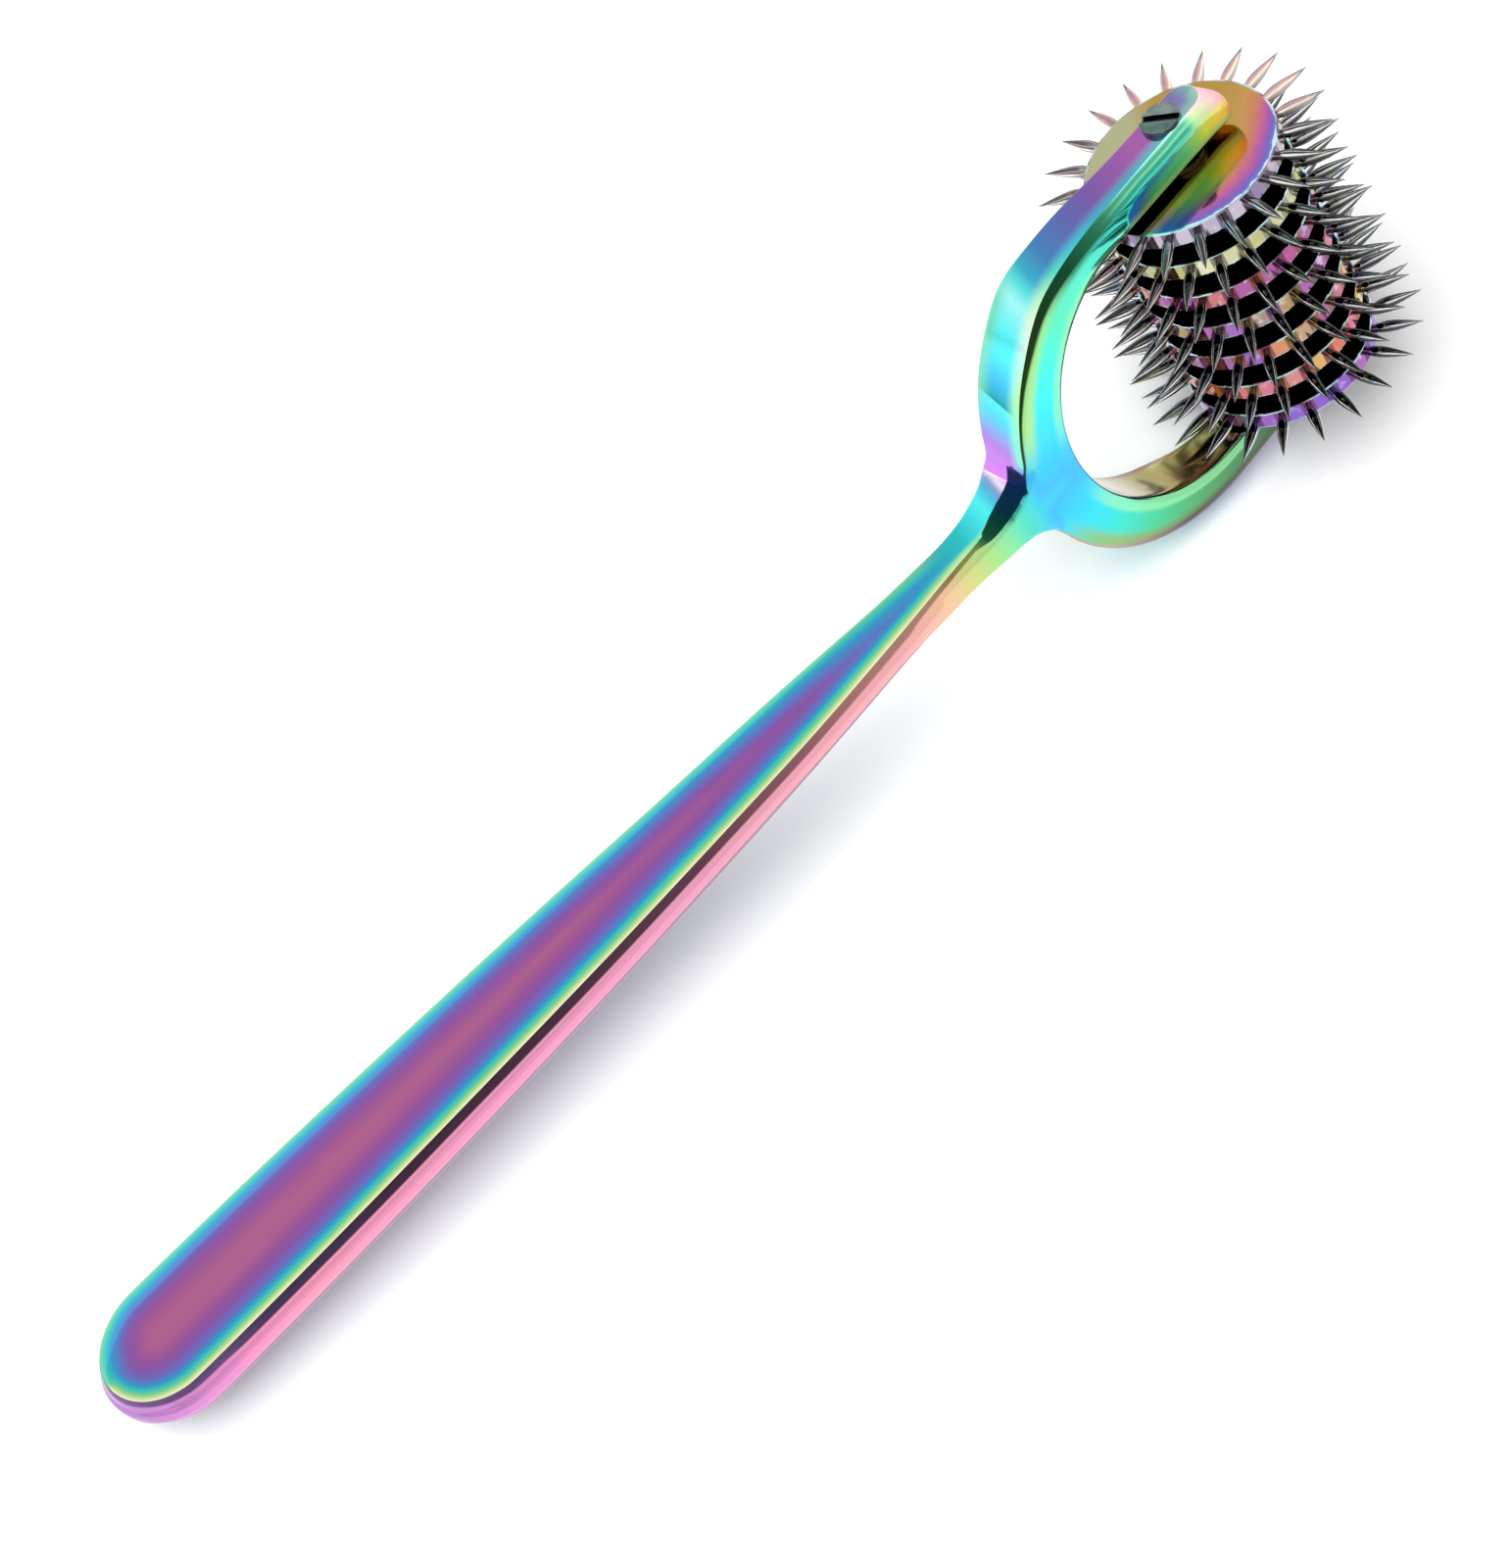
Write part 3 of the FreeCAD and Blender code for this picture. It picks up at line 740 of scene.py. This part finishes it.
# by the near ridge, the dark teal from run 4 to 20 is a painted dark reflection of the drum
near_rim = ramp(tree, run, ((-6.0, "f0b0b8"), (-2.0, "b0f0a0"), (4.0, "34a088"), (14.0, "2c9c88"),
                            (20.0, "389078"), (26.0, "98ec9c"), (32.0, "a8ec98"), (41.0, "b4ec98"),
                            (46.0, "98e8b0")))
# the far rim is painted darker towards the tip too, a painted shade
far_rim = ramp(tree, run, ((-6.0, "505048"), (11.0, "505c44"), (17.0, "586850"), (23.0, "708860"),
                           (29.0, "88a86c"), (35.0, "94bc7c"), (41.0, "84c890"), (46.0, "70d8c0")))
near_share = between(tree, y, -3.0, 3.0)
flat = mixed(tree, near_share, far_flat, near_flat)
rim = mixed(tree, near_share, far_rim, near_rim)
on_fork = between(tree, run, 47.0, 38.0)
rim_width = ramp(tree, run, ((-6.0, 2.6), (20.0, 2.6), (28.0, 2.1), (46.0, 2.0)))
rim_share = overlap(tree, between(tree, calc(tree, "SUBTRACT", deep, rim_width), 0.2, -1.4), on_fork)
flat = mixed(tree, rim_share, flat, rim)
# a pale green painted highlight along the inner edge of the flat
inner_rim_highlight = overlap(tree, between(tree, deep, 3.9, 4.7), on_fork, 0.6)
flat = mixed(tree, inner_rim_highlight, flat, tint("a4f4b4"))
handle_side = ramp(tree, run, (
    (75.0, "f0bc9c"), (82.0, "f4aeb0"), (95.0, "f0a8b4"), (115.0, "e89eb8"), (150.0, "ee98bc"),
    (176.0, "f49cb8"), (186.0, "f494c2"), (192.0, "d48ccc"), (198.0, "b480c4")))
side = mixed(tree, between(tree, run, 74.0, 82.0), flat, handle_side)
# beneath the near ridges the dark greens, navy and brown-purple from run 10 on are a painted dark
# reflection, and the pale pink at the tip of the tine a painted highlight
bevel_with_reflection = ramp(tree, run, (
    (-6.0, "f4a8c0"), (-2.0, "d8d8b8"), (0.0, "a8e4cc"), (6.0, "50a888"), (10.0, "409c74"),
    (15.0, "287050"), (20.0, "164a30"), (26.0, "1c3a20"), (32.0, "243e14"), (38.0, "24400e"),
    (42.0, "345424"), (44.0, "205040"), (49.6, "1c2c5c"), (61.0, "0c2850"), (62.5, "0b2a48"),
    (64.0, "05303a"), (66.0, "0c4030"), (67.8, "1c5438"), (68.6, "74884c"), (70.5, "84884c"),
    (73.0, "8c7444"), (76.0, "a8846c"), (88.0, "a87470"), (98.0, "8c5c64"), (115.0, "603c4c"),
    (135.0, "483040"), (160.0, "402c3c"), (180.0, "483858"), (198.0, "7c5c90")))
# the far bevel is painted greyer towards the tip, a painted shade
far_bevel = ramp(tree, run, (
    (-6.0, "5c5660"), (5.0, "5c5660"), (17.0, "5c5858"), (23.0, "605460"), (29.0, "988484"),
    (35.0, "bca49c"), (41.0, "b8a89c"), (44.5, "98b890"), (61.0, "50c8c0"), (68.0, "70b49c"),
    (76.0, "8c7c88"), (90.0, "a8849c"), (198.0, "a08098")))
# on the side away from the camera the bevel keeps the coating's colours; the near white at 61.9 is a painted
# highlight band
away_bevel = ramp(tree, run, (
    (-6.0, "8cc8a8"), (0.0, "7c9cb4"), (6.0, "9870b0"), (14.0, "7468b0"), (20.0, "5cb4bc"),
    (26.0, "8ce8c8"), (32.0, "74dcbc"), (38.0, "80e0d0"), (41.5, "90b8e4"), (44.5, "a470c8"),
    (60.5, "c87ce0"), (61.9, "f4e0f8"), (63.4, "58b8e0"), (66.0, "48dcec"), (70.0, "38c0c4"),
    (78.0, "40a8a4"), (90.0, "4c9c8c"), (198.0, "589c90")))
bevel_with_reflection = mixed(tree, between(tree, level, -1.0, 0.0), away_bevel, bevel_with_reflection)
bevel_with_reflection = mixed(tree, between(tree, y, -0.6, 0.6), far_bevel, bevel_with_reflection)
bevel_width = ramp(tree, calc(tree, "MULTIPLY_ADD", patches, 0.8, run), (
    (-6.0, 0.9), (-3.5, 0.5), (2.0, 0.3), (7.0, 0.7), (11.0, 1.4), (16.0, 1.45), (20.0, 1.15),
    (26.0, 0.85), (32.0, 0.65), (38.0, 0.40), (43.6, 0.35), (50.0, 0.6), (61.4, 1.7), (62.8, 2.4),
    (64.2, 2.4), (66.0, 2.1), (67.6, 1.5), (68.8, 0.7), (71.0, 0.75), (74.0, 0.85), (82.0, 0.9),
    (100.0, 1.0), (125.0, 1.08), (160.0, 1.12), (185.0, 1.05), (198.0, 0.6)))
on_bevel = between(tree, calc(tree, "SUBTRACT", bevel_width, deep), -0.10, 0.12)
colour = mixed(tree, on_bevel, side, bevel_with_reflection)
# bands of painted reflection along the near tine's ridge: a bright line at the ridge, then pale and dark
# teal
reflection_stripes = ramp(tree, calc(tree, "MULTIPLY_ADD", patches, 0.08, deep), (
    (0.0, "b0f8ec"), (0.15, "98ecdc"), (0.3, "56b890"), (0.6, "4ba985"), (0.85, "80deb4"),
    (1.1, "2a9c80"), (1.35, "3cb49c"), (1.5, "68e4d0"), (1.7, "288878")))
reflection_striped = overlap(tree, between(tree, deep, 1.8, 1.65), between(tree, run, -2.8, -0.5),
                  between(tree, run, 15.0, 8.0), between(tree, y, 0.0, 1.0))
colour = mixed(tree, reflection_striped, colour, reflection_stripes)
tree.links.new(colour, shader.inputs["Base Color"])
metallic = ramp(tree, run, ((-6.0, 0.25), (-1.0, 0.4), (4.0, 0.8), (8.0, 1.0)))
tree.links.new(metallic, shader.inputs["Metallic"])
forging.data.materials.append(side_metal)

# Fork and handle: inside of the fork
# The inner walls are less evenly polished: pale gold and olive with brown and pink patches.
inner_metal, tree, shader = polished("coated_inside", 0.12)
place = square_place(tree)
x, y, z = apart(tree, place)
run = carried(tree, "run")
patches = mottle(tree, place, 0.22, 3.0)
spread = calc(tree, "MULTIPLY_ADD", patches, 0.22, 0.45)
inside = ramp(tree, spread, ((0.0, "3c3428"), (0.2, "8c5c4c"), (0.35, "a88c58"), (0.5, "a8a464"),
                             (0.65, "c4c490"), (0.8, "e4e4cc"), (1.0, "9c6c70")))
paler = between(tree, run, 24.0, 34.0, 0.0, 0.55)
inside = mixed(tree, paler, inside, tint("f0e4dc"))
# next to the drum the inner wall is greenish gold, with a painted shade, near black, deep in the gap between
# tine and wheel
by_drum = overlap(tree, between(tree, y, 10.0, 14.0), between(tree, run, 22.0, 15.0))
gap_colour = ramp(tree, run, ((-6.0, "e8c848"), (-1.0, "a0c050"), (5.0, "3c8c50"), (12.0, "28584c")))
gap_edge = calc(tree, "ADD", ramp(tree, run, ((-6.0, 0.0), (0.0, 2.6), (10.0, 4.4), (17.0, 5.2))), -2.0)
gap_shade = between(tree, calc(tree, "SUBTRACT", gap_edge, z), -0.2, 0.2)
gap_colour = mixed(tree, gap_shade, gap_colour, tint("0c1410"))
inside = mixed(tree, by_drum, inside, gap_colour)
inside = mixed(tree, between(tree, z, -3.0, -4.2, 0.0, 0.8), inside, tint("8c4c64"))
tree.links.new(inside, shader.inputs["Base Color"])
forging.data.materials.append(inner_metal)


# Axle screw
# A slotted screw of grey steel. Its head is turned with a bevelled rim and the slot is milled
# across; the shank goes through both tines and ends level with the far one.
shank_radius = 1.5 * mm
head_radius = 2.3 * mm
head_height = 0.6 * mm
slot_width = 0.95 * mm
slot_depth = 0.42 * mm
slot_turn = math.radians(-62)
head_rounding = 0.16 * mm
along_y = (math.pi / 2, 0, 0)


def break_edges(piece, width, parts):
    """Bevels the sharp edges of a piece."""
    soften = piece.modifiers.new("bevel", "BEVEL")
    soften.width = width
    soften.segments = parts
    soften.limit_method = "ANGLE"
    soften.angle_limit = math.radians(40)
    only(piece)
    bpy.ops.object.modifier_apply(modifier="bevel")


bpy.ops.object.select_all(action="DESELECT")
bpy.ops.mesh.primitive_cylinder_add(
    vertices=64, radius=shank_radius, depth=2 * outer_wall, end_fill_type="NGON", rotation=along_y)
screw = bpy.context.object
screw.name = "slotted_axle_screw"
fix_place()
bpy.ops.object.mode_set(mode="EDIT")
bpy.ops.mesh.select_mode(type="VERT")
pick_faces(screw, lambda c, n: c.y > outer_wall - tiny)
draw_out((0, 0, 0))
stretch((head_radius / shank_radius, 1, head_radius / shank_radius), (0, outer_wall, 0))
draw_out((0, head_height, 0))
bpy.ops.object.mode_set(mode="OBJECT")

bpy.ops.object.select_all(action="DESELECT")
bpy.ops.mesh.primitive_cube_add(
    size=1, location=(0, outer_wall + head_height, 0), rotation=(0, slot_turn, 0),
    scale=(3 * head_radius, 2 * slot_depth, slot_width))
slot_cutter = bpy.context.object
fix_place()
cut = screw.modifiers.new("slot", "BOOLEAN")
cut.object = slot_cutter
cut.solver = "EXACT"
only(screw)
bpy.ops.object.modifier_apply(modifier="slot")
break_edges(screw, head_rounding, 3)
bpy.ops.object.shade_smooth_by_angle(angle=math.radians(35))
only(slot_cutter)
bpy.ops.object.delete()
lay_down(screw)
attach(screw, "holder")
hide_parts("axle_screw")

# two ways across the axle, as x and z: to the tip of the tine, and to its upper edge
tip_way = Vector((0.897, -0.443))
upper_way = Vector((0.712, 0.702))


def across_axle(tree, x, z, way):
    """How far a point lies along a way across the axle."""
    return calc(tree, "MULTIPLY_ADD", x, way.x, calc(tree, "MULTIPLY", z, way.y))


def from_axle(tree, x, z):
    return calc(tree, "SQRT", calc(tree, "MULTIPLY_ADD", x, x, calc(tree, "MULTIPLY", z, z)))


head_top = (outer_wall + head_height) / mm
head_edge = head_radius / mm
tine_inside = inner_wall / mm
screw_metal, tree, shader = polished("screw", 0.13)
place = square_place(tree)
x, y, z = apart(tree, place)
grey = ramp(tree, mottle(tree, place, 0.7, 3.0), ((-1.0, "5c6a66"), (0.0, "7c8c86"), (1.0, "a0aca8")))
# the inside of the slot is painted near black, a painted shade in the recess
slot_shade = overlap(tree, between(tree, y, head_top - 0.08, head_top - 0.16),
                  between(tree, from_axle(tree, x, z), head_edge - 0.1, head_edge - 0.2))
grey = mixed(tree, slot_shade, grey, tint("141818"))
# the lower side of the head, towards the tine's tip, is painted darker teal, a painted shade
lower_side_shade = between(tree, across_axle(tree, x, z, -tip_way), -0.3, 0.6, 0.0, 0.55)
grey = mixed(tree, lower_side_shade, grey, tint("3c6460"))
# where the shank passes between the near tine and the first wheel it is painted near black, a painted shade
grey = mixed(tree, between(tree, y, tine_inside + 0.5, tine_inside + 0.1), grey, tint("141818"))
tree.links.new(grey, shader.inputs["Base Color"])
screw.data.materials.append(screw_metal)


# Wheels
# Seven discs of polished steel in the same rainbow coating, pressed on the sleeve. Forty-four small
# flats are milled round each rim, and every second flat carries a needle.
wheel_count = 7
wheel_radius = 11.25 * mm
wheel_width = 2.2 * mm
row_pitch = 5.13 * mm
bore_radius = 3.07 * mm
rim_lip = 0.5 * mm
hub_ring = 1.0 * mm
rim_rounding = 0.14 * mm
needles_round = 22
# how far each row is turned, counted in needles
row_turns = (-0.06, -0.20, -0.01, -0.03, -0.15, -0.08, 0.44)
needle_step = 2 * math.pi / needles_round
flat_step = needle_step / 2
corner_radius = wheel_radius / math.cos(flat_step / 2)


def row_place(row):
    """How far along the axle a row lies from its middle."""
    return ((wheel_count - 1) / 2 - row) * row_pitch


bpy.ops.object.select_all(action="DESELECT")
bpy.ops.mesh.primitive_cylinder_add(
    vertices=2 * needles_round, radius=corner_radius, depth=wheel_width, end_fill_type="NGON",
    rotation=along_y)
first_wheel = bpy.context.object
fix_place()
bpy.ops.object.mode_set(mode="EDIT")
bpy.ops.mesh.select_mode(type="VERT")
pick_faces(first_wheel, lambda c, n: abs(n.y) > 0.9)
bpy.ops.mesh.inset(thickness=rim_lip, depth=0)
bpy.ops.mesh.inset(thickness=corner_radius - bore_radius - rim_lip - hub_ring, depth=0)
bpy.ops.mesh.inset(thickness=hub_ring, depth=0)
bpy.ops.mesh.bridge_edge_loops()
bpy.ops.object.mode_set(mode="OBJECT")
break_edges(first_wheel, rim_rounding, 2)
bpy.ops.object.shade_smooth_by_angle(angle=math.radians(3))

# three colours for the flats of each row
row_colours = (
    ("b0a4bc", "8c7ca0", "ccc0d0"), ("c8c898", "a4a468", "e0e0c0"), ("c86478", "9c58a4", "d08058"),
    ("9c60b8", "c46c90", "a09850"), ("8c60b0", "cc7070", "c8a858"), ("d08060", "c8648c", "d8c470"),
    ("6c70c4", "b868a8", "8c60c0"))
rim = wheel_radius / mm
half_width = wheel_width / mm / 2
disc_face = row_place(0) / mm + half_width
row_metals = []
for row, (first, second, third) in enumerate(row_colours):
    metal, tree, shader = polished(f"coated_wheel_{row + 1}", 0.08)
    place = square_place(tree)
    x, y, z = apart(tree, place)
    round_place = calc(tree, "ARCTAN2", z, x)
    flats = calc(tree, "MULTIPLY_ADD", round_place, 1 / flat_step, 0.5 - 2 * row_turns[row])
    number = calc(tree, "FLOOR", flats)
    seed = {"W": calc(tree, "ADD", number, 20.0 * row)}
    chance = add(tree, "ShaderNodeTexWhiteNoise", seed, noise_dimensions="1D").outputs["Value"]
    rim_colour = ramp(tree, chance, ((0.0, first), (0.35, second), (0.7, third), (1.0, first)))
    patches = mottle(tree, place, 0.8, 2.0)
    rim_colour = mixed(tree, between(tree, patches, 0.2, 1.2, 0.0, 0.5), rim_colour, tint("ece8e8"))
    radius = from_axle(tree, x, z)
    on_rim = between(tree, radius, rim - 0.25, rim - 0.13)
    # the sides of the wheels stand in the narrow gaps between them and get a painted shade, near black;
    # wheel 1's near face shows its disc instead
    dark = ramp(tree, patches, ((-1.0, "182024"), (1.0, "343038")))
    if row == 0:
        raised = across_axle(tree, x, z, upper_way)
        shown_side = across_axle(tree, x, z, 0.75 * upper_way - 0.66 * tip_way)
        turned_side = between(tree, shown_side, -3.0, 7.0)
        outward = calc(tree, "MULTIPLY_ADD", patches, 0.25, calc(tree, "SUBTRACT", radius, 5.0))
        # on wheel 1's near face the disc runs from olive gold through pink to purple blue; the pale blue
        # line at its outer edge is a painted highlight
        disc = ramp(tree, calc(tree, "MULTIPLY", outward, turned_side), (
            (0.0, "b89448"), (1.5, "c89858"), (2.7, "cc8464"), (3.7, "c86c94"), (4.6, "a860b0"),
            (5.4, "7c68c0"), (5.85, "6c88d0"), (5.95, "e0f0ff")))
        disc = mixed(tree, between(tree, raised, -2.0, -6.0), disc, tint("b4b48c"))
        dark = mixed(tree, between(tree, y, disc_face - 0.5, disc_face - 0.1), dark, disc)
    shaded = calc(tree, "COMPARE", calc(tree, "FLOORED_MODULO", number, 2.0), 0.0, 0.5)
    rim_colour = mixed(tree, overlap(tree, shaded, 0.6), rim_colour, tint("2c2430"))
    colour = mixed(tree, on_rim, dark, rim_colour)
    from_middle = calc(tree, "ABSOLUTE", calc(tree, "SUBTRACT", y, row_place(row) / mm))
    broken = between(tree, mottle(tree, place, 0.35, 2.0), -0.4, 0.4)
    # broken pale cyan lines along the wheels' edges are painted glints
    edge_glint = overlap(tree, between(tree, from_middle, half_width - 0.18, half_width - 0.12),
                        between(tree, radius, rim - 0.3, rim - 0.25), broken)
    colour = mixed(tree, edge_glint, colour, tint("c8f0f4"))
    tree.links.new(colour, shader.inputs["Base Color"])
    row_metals.append(metal)

for row in range(wheel_count):
    wheel = first_wheel if row == wheel_count - 1 else first_wheel.copy()
    if row < wheel_count - 1:
        wheel.data = first_wheel.data.copy()
        bpy.context.scene.collection.objects.link(wheel)
    wheel.name = f"flatted_wheel_{row + 1}"
    turned = -needle_step * row_turns[row] + math.pi / 2
    lay_down(wheel, Matrix.Translation((0, row_place(row), 0)) @ Matrix.Rotation(turned, 4, "Y"))
    wheel.data.materials.append(row_metals[row])
    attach(wheel, "drum")
    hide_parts(f"wheel_{row + 1}")


# Needles
# Each needle is a turned steel spindle: a narrow foot, a belly near the foot and a long point. Every
# wheel has 22 of them, driven into its flats. The profile gives radius and height in mm.
needle_profile = ((0.48, 0.0), (0.58, 0.5), (0.68, 1.1), (0.70, 1.8), (0.64, 2.6), (0.50, 3.5),
                  (0.31, 4.45), (0.14, 5.25), (0.03, 5.8))
bpy.ops.object.select_all(action="DESELECT")
bpy.ops.mesh.primitive_circle_add(vertices=10, radius=needle_profile[0][0] * mm, fill_type="NGON")
first_needle = bpy.context.object
bpy.ops.object.mode_set(mode="EDIT")
bpy.ops.mesh.select_mode(type="VERT")
bpy.ops.mesh.select_all(action="SELECT")
was_radius, was_height = needle_profile[0]
for radius, height in needle_profile[1:]:
    draw_out((0, 0, (height - was_height) * mm))
    stretch((radius / was_radius, radius / was_radius, 1), (0, 0, height * mm))
    was_radius, was_height = radius, height
bpy.ops.mesh.select_all(action="SELECT")
bpy.ops.mesh.normals_make_consistent(inside=False)
bpy.ops.object.mode_set(mode="OBJECT")
only(first_needle)
bpy.ops.object.shade_smooth_by_angle(angle=math.radians(60))
for name, direction in (("toward_screw", (0, 1, 0)), ("toward_turn", (1, 0, 0))):
    faced = first_needle.data.attributes.new(name, "FLOAT", "POINT")
    for point in first_needle.data.vertices:
        flat_place = Vector((point.co.x, point.co.y, 0)).normalized()
        faced.data[point.index].value = flat_place.dot(direction)
heights = first_needle.data.attributes.new("height", "FLOAT", "POINT")
for point in first_needle.data.vertices:
    heights.data[point.index].value = point.co.z / mm

needle_metal, tree, shader = polished("needle", 0.06)
place = square_place(tree)
x, y, z = apart(tree, place)
height = carried(tree, "height")
patches = mottle(tree, place, 0.5, 2.0)
facing = calc(tree, "MULTIPLY_ADD", carried(tree, "toward_turn"), 0.28, carried(tree, "toward_screw"))
facing = calc(tree, "MULTIPLY_ADD", patches, 0.05, facing)
facing = calc(tree, "MULTIPLY_ADD", height, 0.03, facing)
# round each needle, bands of white and near black set by which way its side faces are painted highlights and
# painted dark reflections on smoky grey steel
smoke_and_streaks = ramp(tree, facing, (
    (-1.0, "141a1a"), (-0.55, "384040"), (-0.42, "b4b8b8"), (-0.3, "283030"), (-0.05, "303838"),
    (0.12, "8c9494"), (0.25, "343c3c"), (0.40, "e8ecee"), (0.47, "ffffff"), (0.66, "fcfcff"),
    (0.75, "404848"), (0.87, "202828"), (0.96, "d0d4d4"), (1.04, "485050"), (1.25, "181e1e")))
hue = ramp(tree, mottle(tree, place, 0.45, 1.0), (
    (-1.0, "90b0e0"), (-0.6, "b8a8e0"), (-0.25, "e0a0c0"), (0.0, "f0f0f4"), (0.3, "e8c8a0"),
    (0.6, "dcdc9c"), (0.9, "e8f0e8"), (1.2, "90d0c4")))
tinted = between(tree, height, 4.6, 0.4, 0.12, 0.5)
smoke_and_streaks = mixed(tree, tinted, smoke_and_streaks, hue, "MULTIPLY")
# on the first rows towards the tine's tip, and faintly lower down, the needles are painted pale cream with a
# white core, a painted highlight for their lit side
toward_tip = across_axle(tree, x, z, tip_way)
pale = overlap(tree, between(tree, y, 12.0, 14.0), between(tree, toward_tip, 3.0, 9.0),
               between(tree, height, 5.2, 3.8, 0.0, 0.85))
cream = ramp(tree, facing, ((-1.0, "8078a0"), (0.0, "d8c0b8"), (0.3, "fcf4d0"), (0.55, "ffffff"),
                            (0.85, "f0b4a4"), (1.2, "8890a8")))
lowered = across_axle(tree, x, z, -upper_way)
pale_below = overlap(tree, between(tree, y, 3.0, 12.0), between(tree, lowered, 0.0, 9.0), 0.2)
pale = calc(tree, "MAXIMUM", pale, pale_below)
smoke_and_streaks = mixed(tree, pale, smoke_and_streaks, cream)
tree.links.new(smoke_and_streaks, shader.inputs["Base Color"])
first_needle.data.materials.append(needle_metal)

# a needle stands out from the flat in front, and is then turned round the axle to its own
stand_out = Matrix.Translation((wheel_radius, 0, 0)) @ Matrix.Rotation(math.pi / 2, 4, "Y")
for row in range(wheel_count):
    copies = []
    for number in range(needles_round):
        needle = first_needle.copy()
        needle.data = first_needle.data.copy()
        bpy.context.scene.collection.objects.link(needle)
        turned = -needle_step * (row_turns[row] + number)
        round_axle = Matrix.Rotation(turned, 4, "Y")
        needle.matrix_world = Matrix.Translation((0, row_place(row), 0)) @ round_axle @ stand_out
        copies.append(needle)
    bpy.ops.object.select_all(action="DESELECT")
    for needle in copies:
        needle.select_set(True)
    bpy.context.view_layer.objects.active = copies[0]
    bpy.ops.object.join()
    needles = bpy.context.object
    fix_place()
    needles.name = f"needles_{row + 1}"
    lay_down(needles)
    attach(needles, "drum")
    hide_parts(f"pins_{row + 1}")
only(first_needle)
bpy.ops.object.delete()


# Sleeve and spacers
# The sleeve is a steel tube that turns on the screw. Spacer rings of dark steel on it hold the
# wheels apart. Both have the solids' own shape, and get a satin steel; the sleeve's is painted
# darker than its steel, a painted shade between the tine and the first wheel.
for name, start, roughness, darker, paler in (("spacer", "spacer", 0.3, "1c2426", "363a40"),
                                              ("sleeve", "drum_sleeve", 0.25, "303032", "505052")):
    satin_steel, tree, shader = polished(name, roughness)
    patches = mottle(tree, square_place(tree), 0.5)
    tree.links.new(ramp(tree, patches, ((-1.0, darker), (1.0, paler))), shader.inputs["Base Color"])
    for solid in bpy.data.objects:
        if solid.type == "MESH" and solid.name.startswith(start):
            for finish in solid.material_slots:
                finish.material = satin_steel
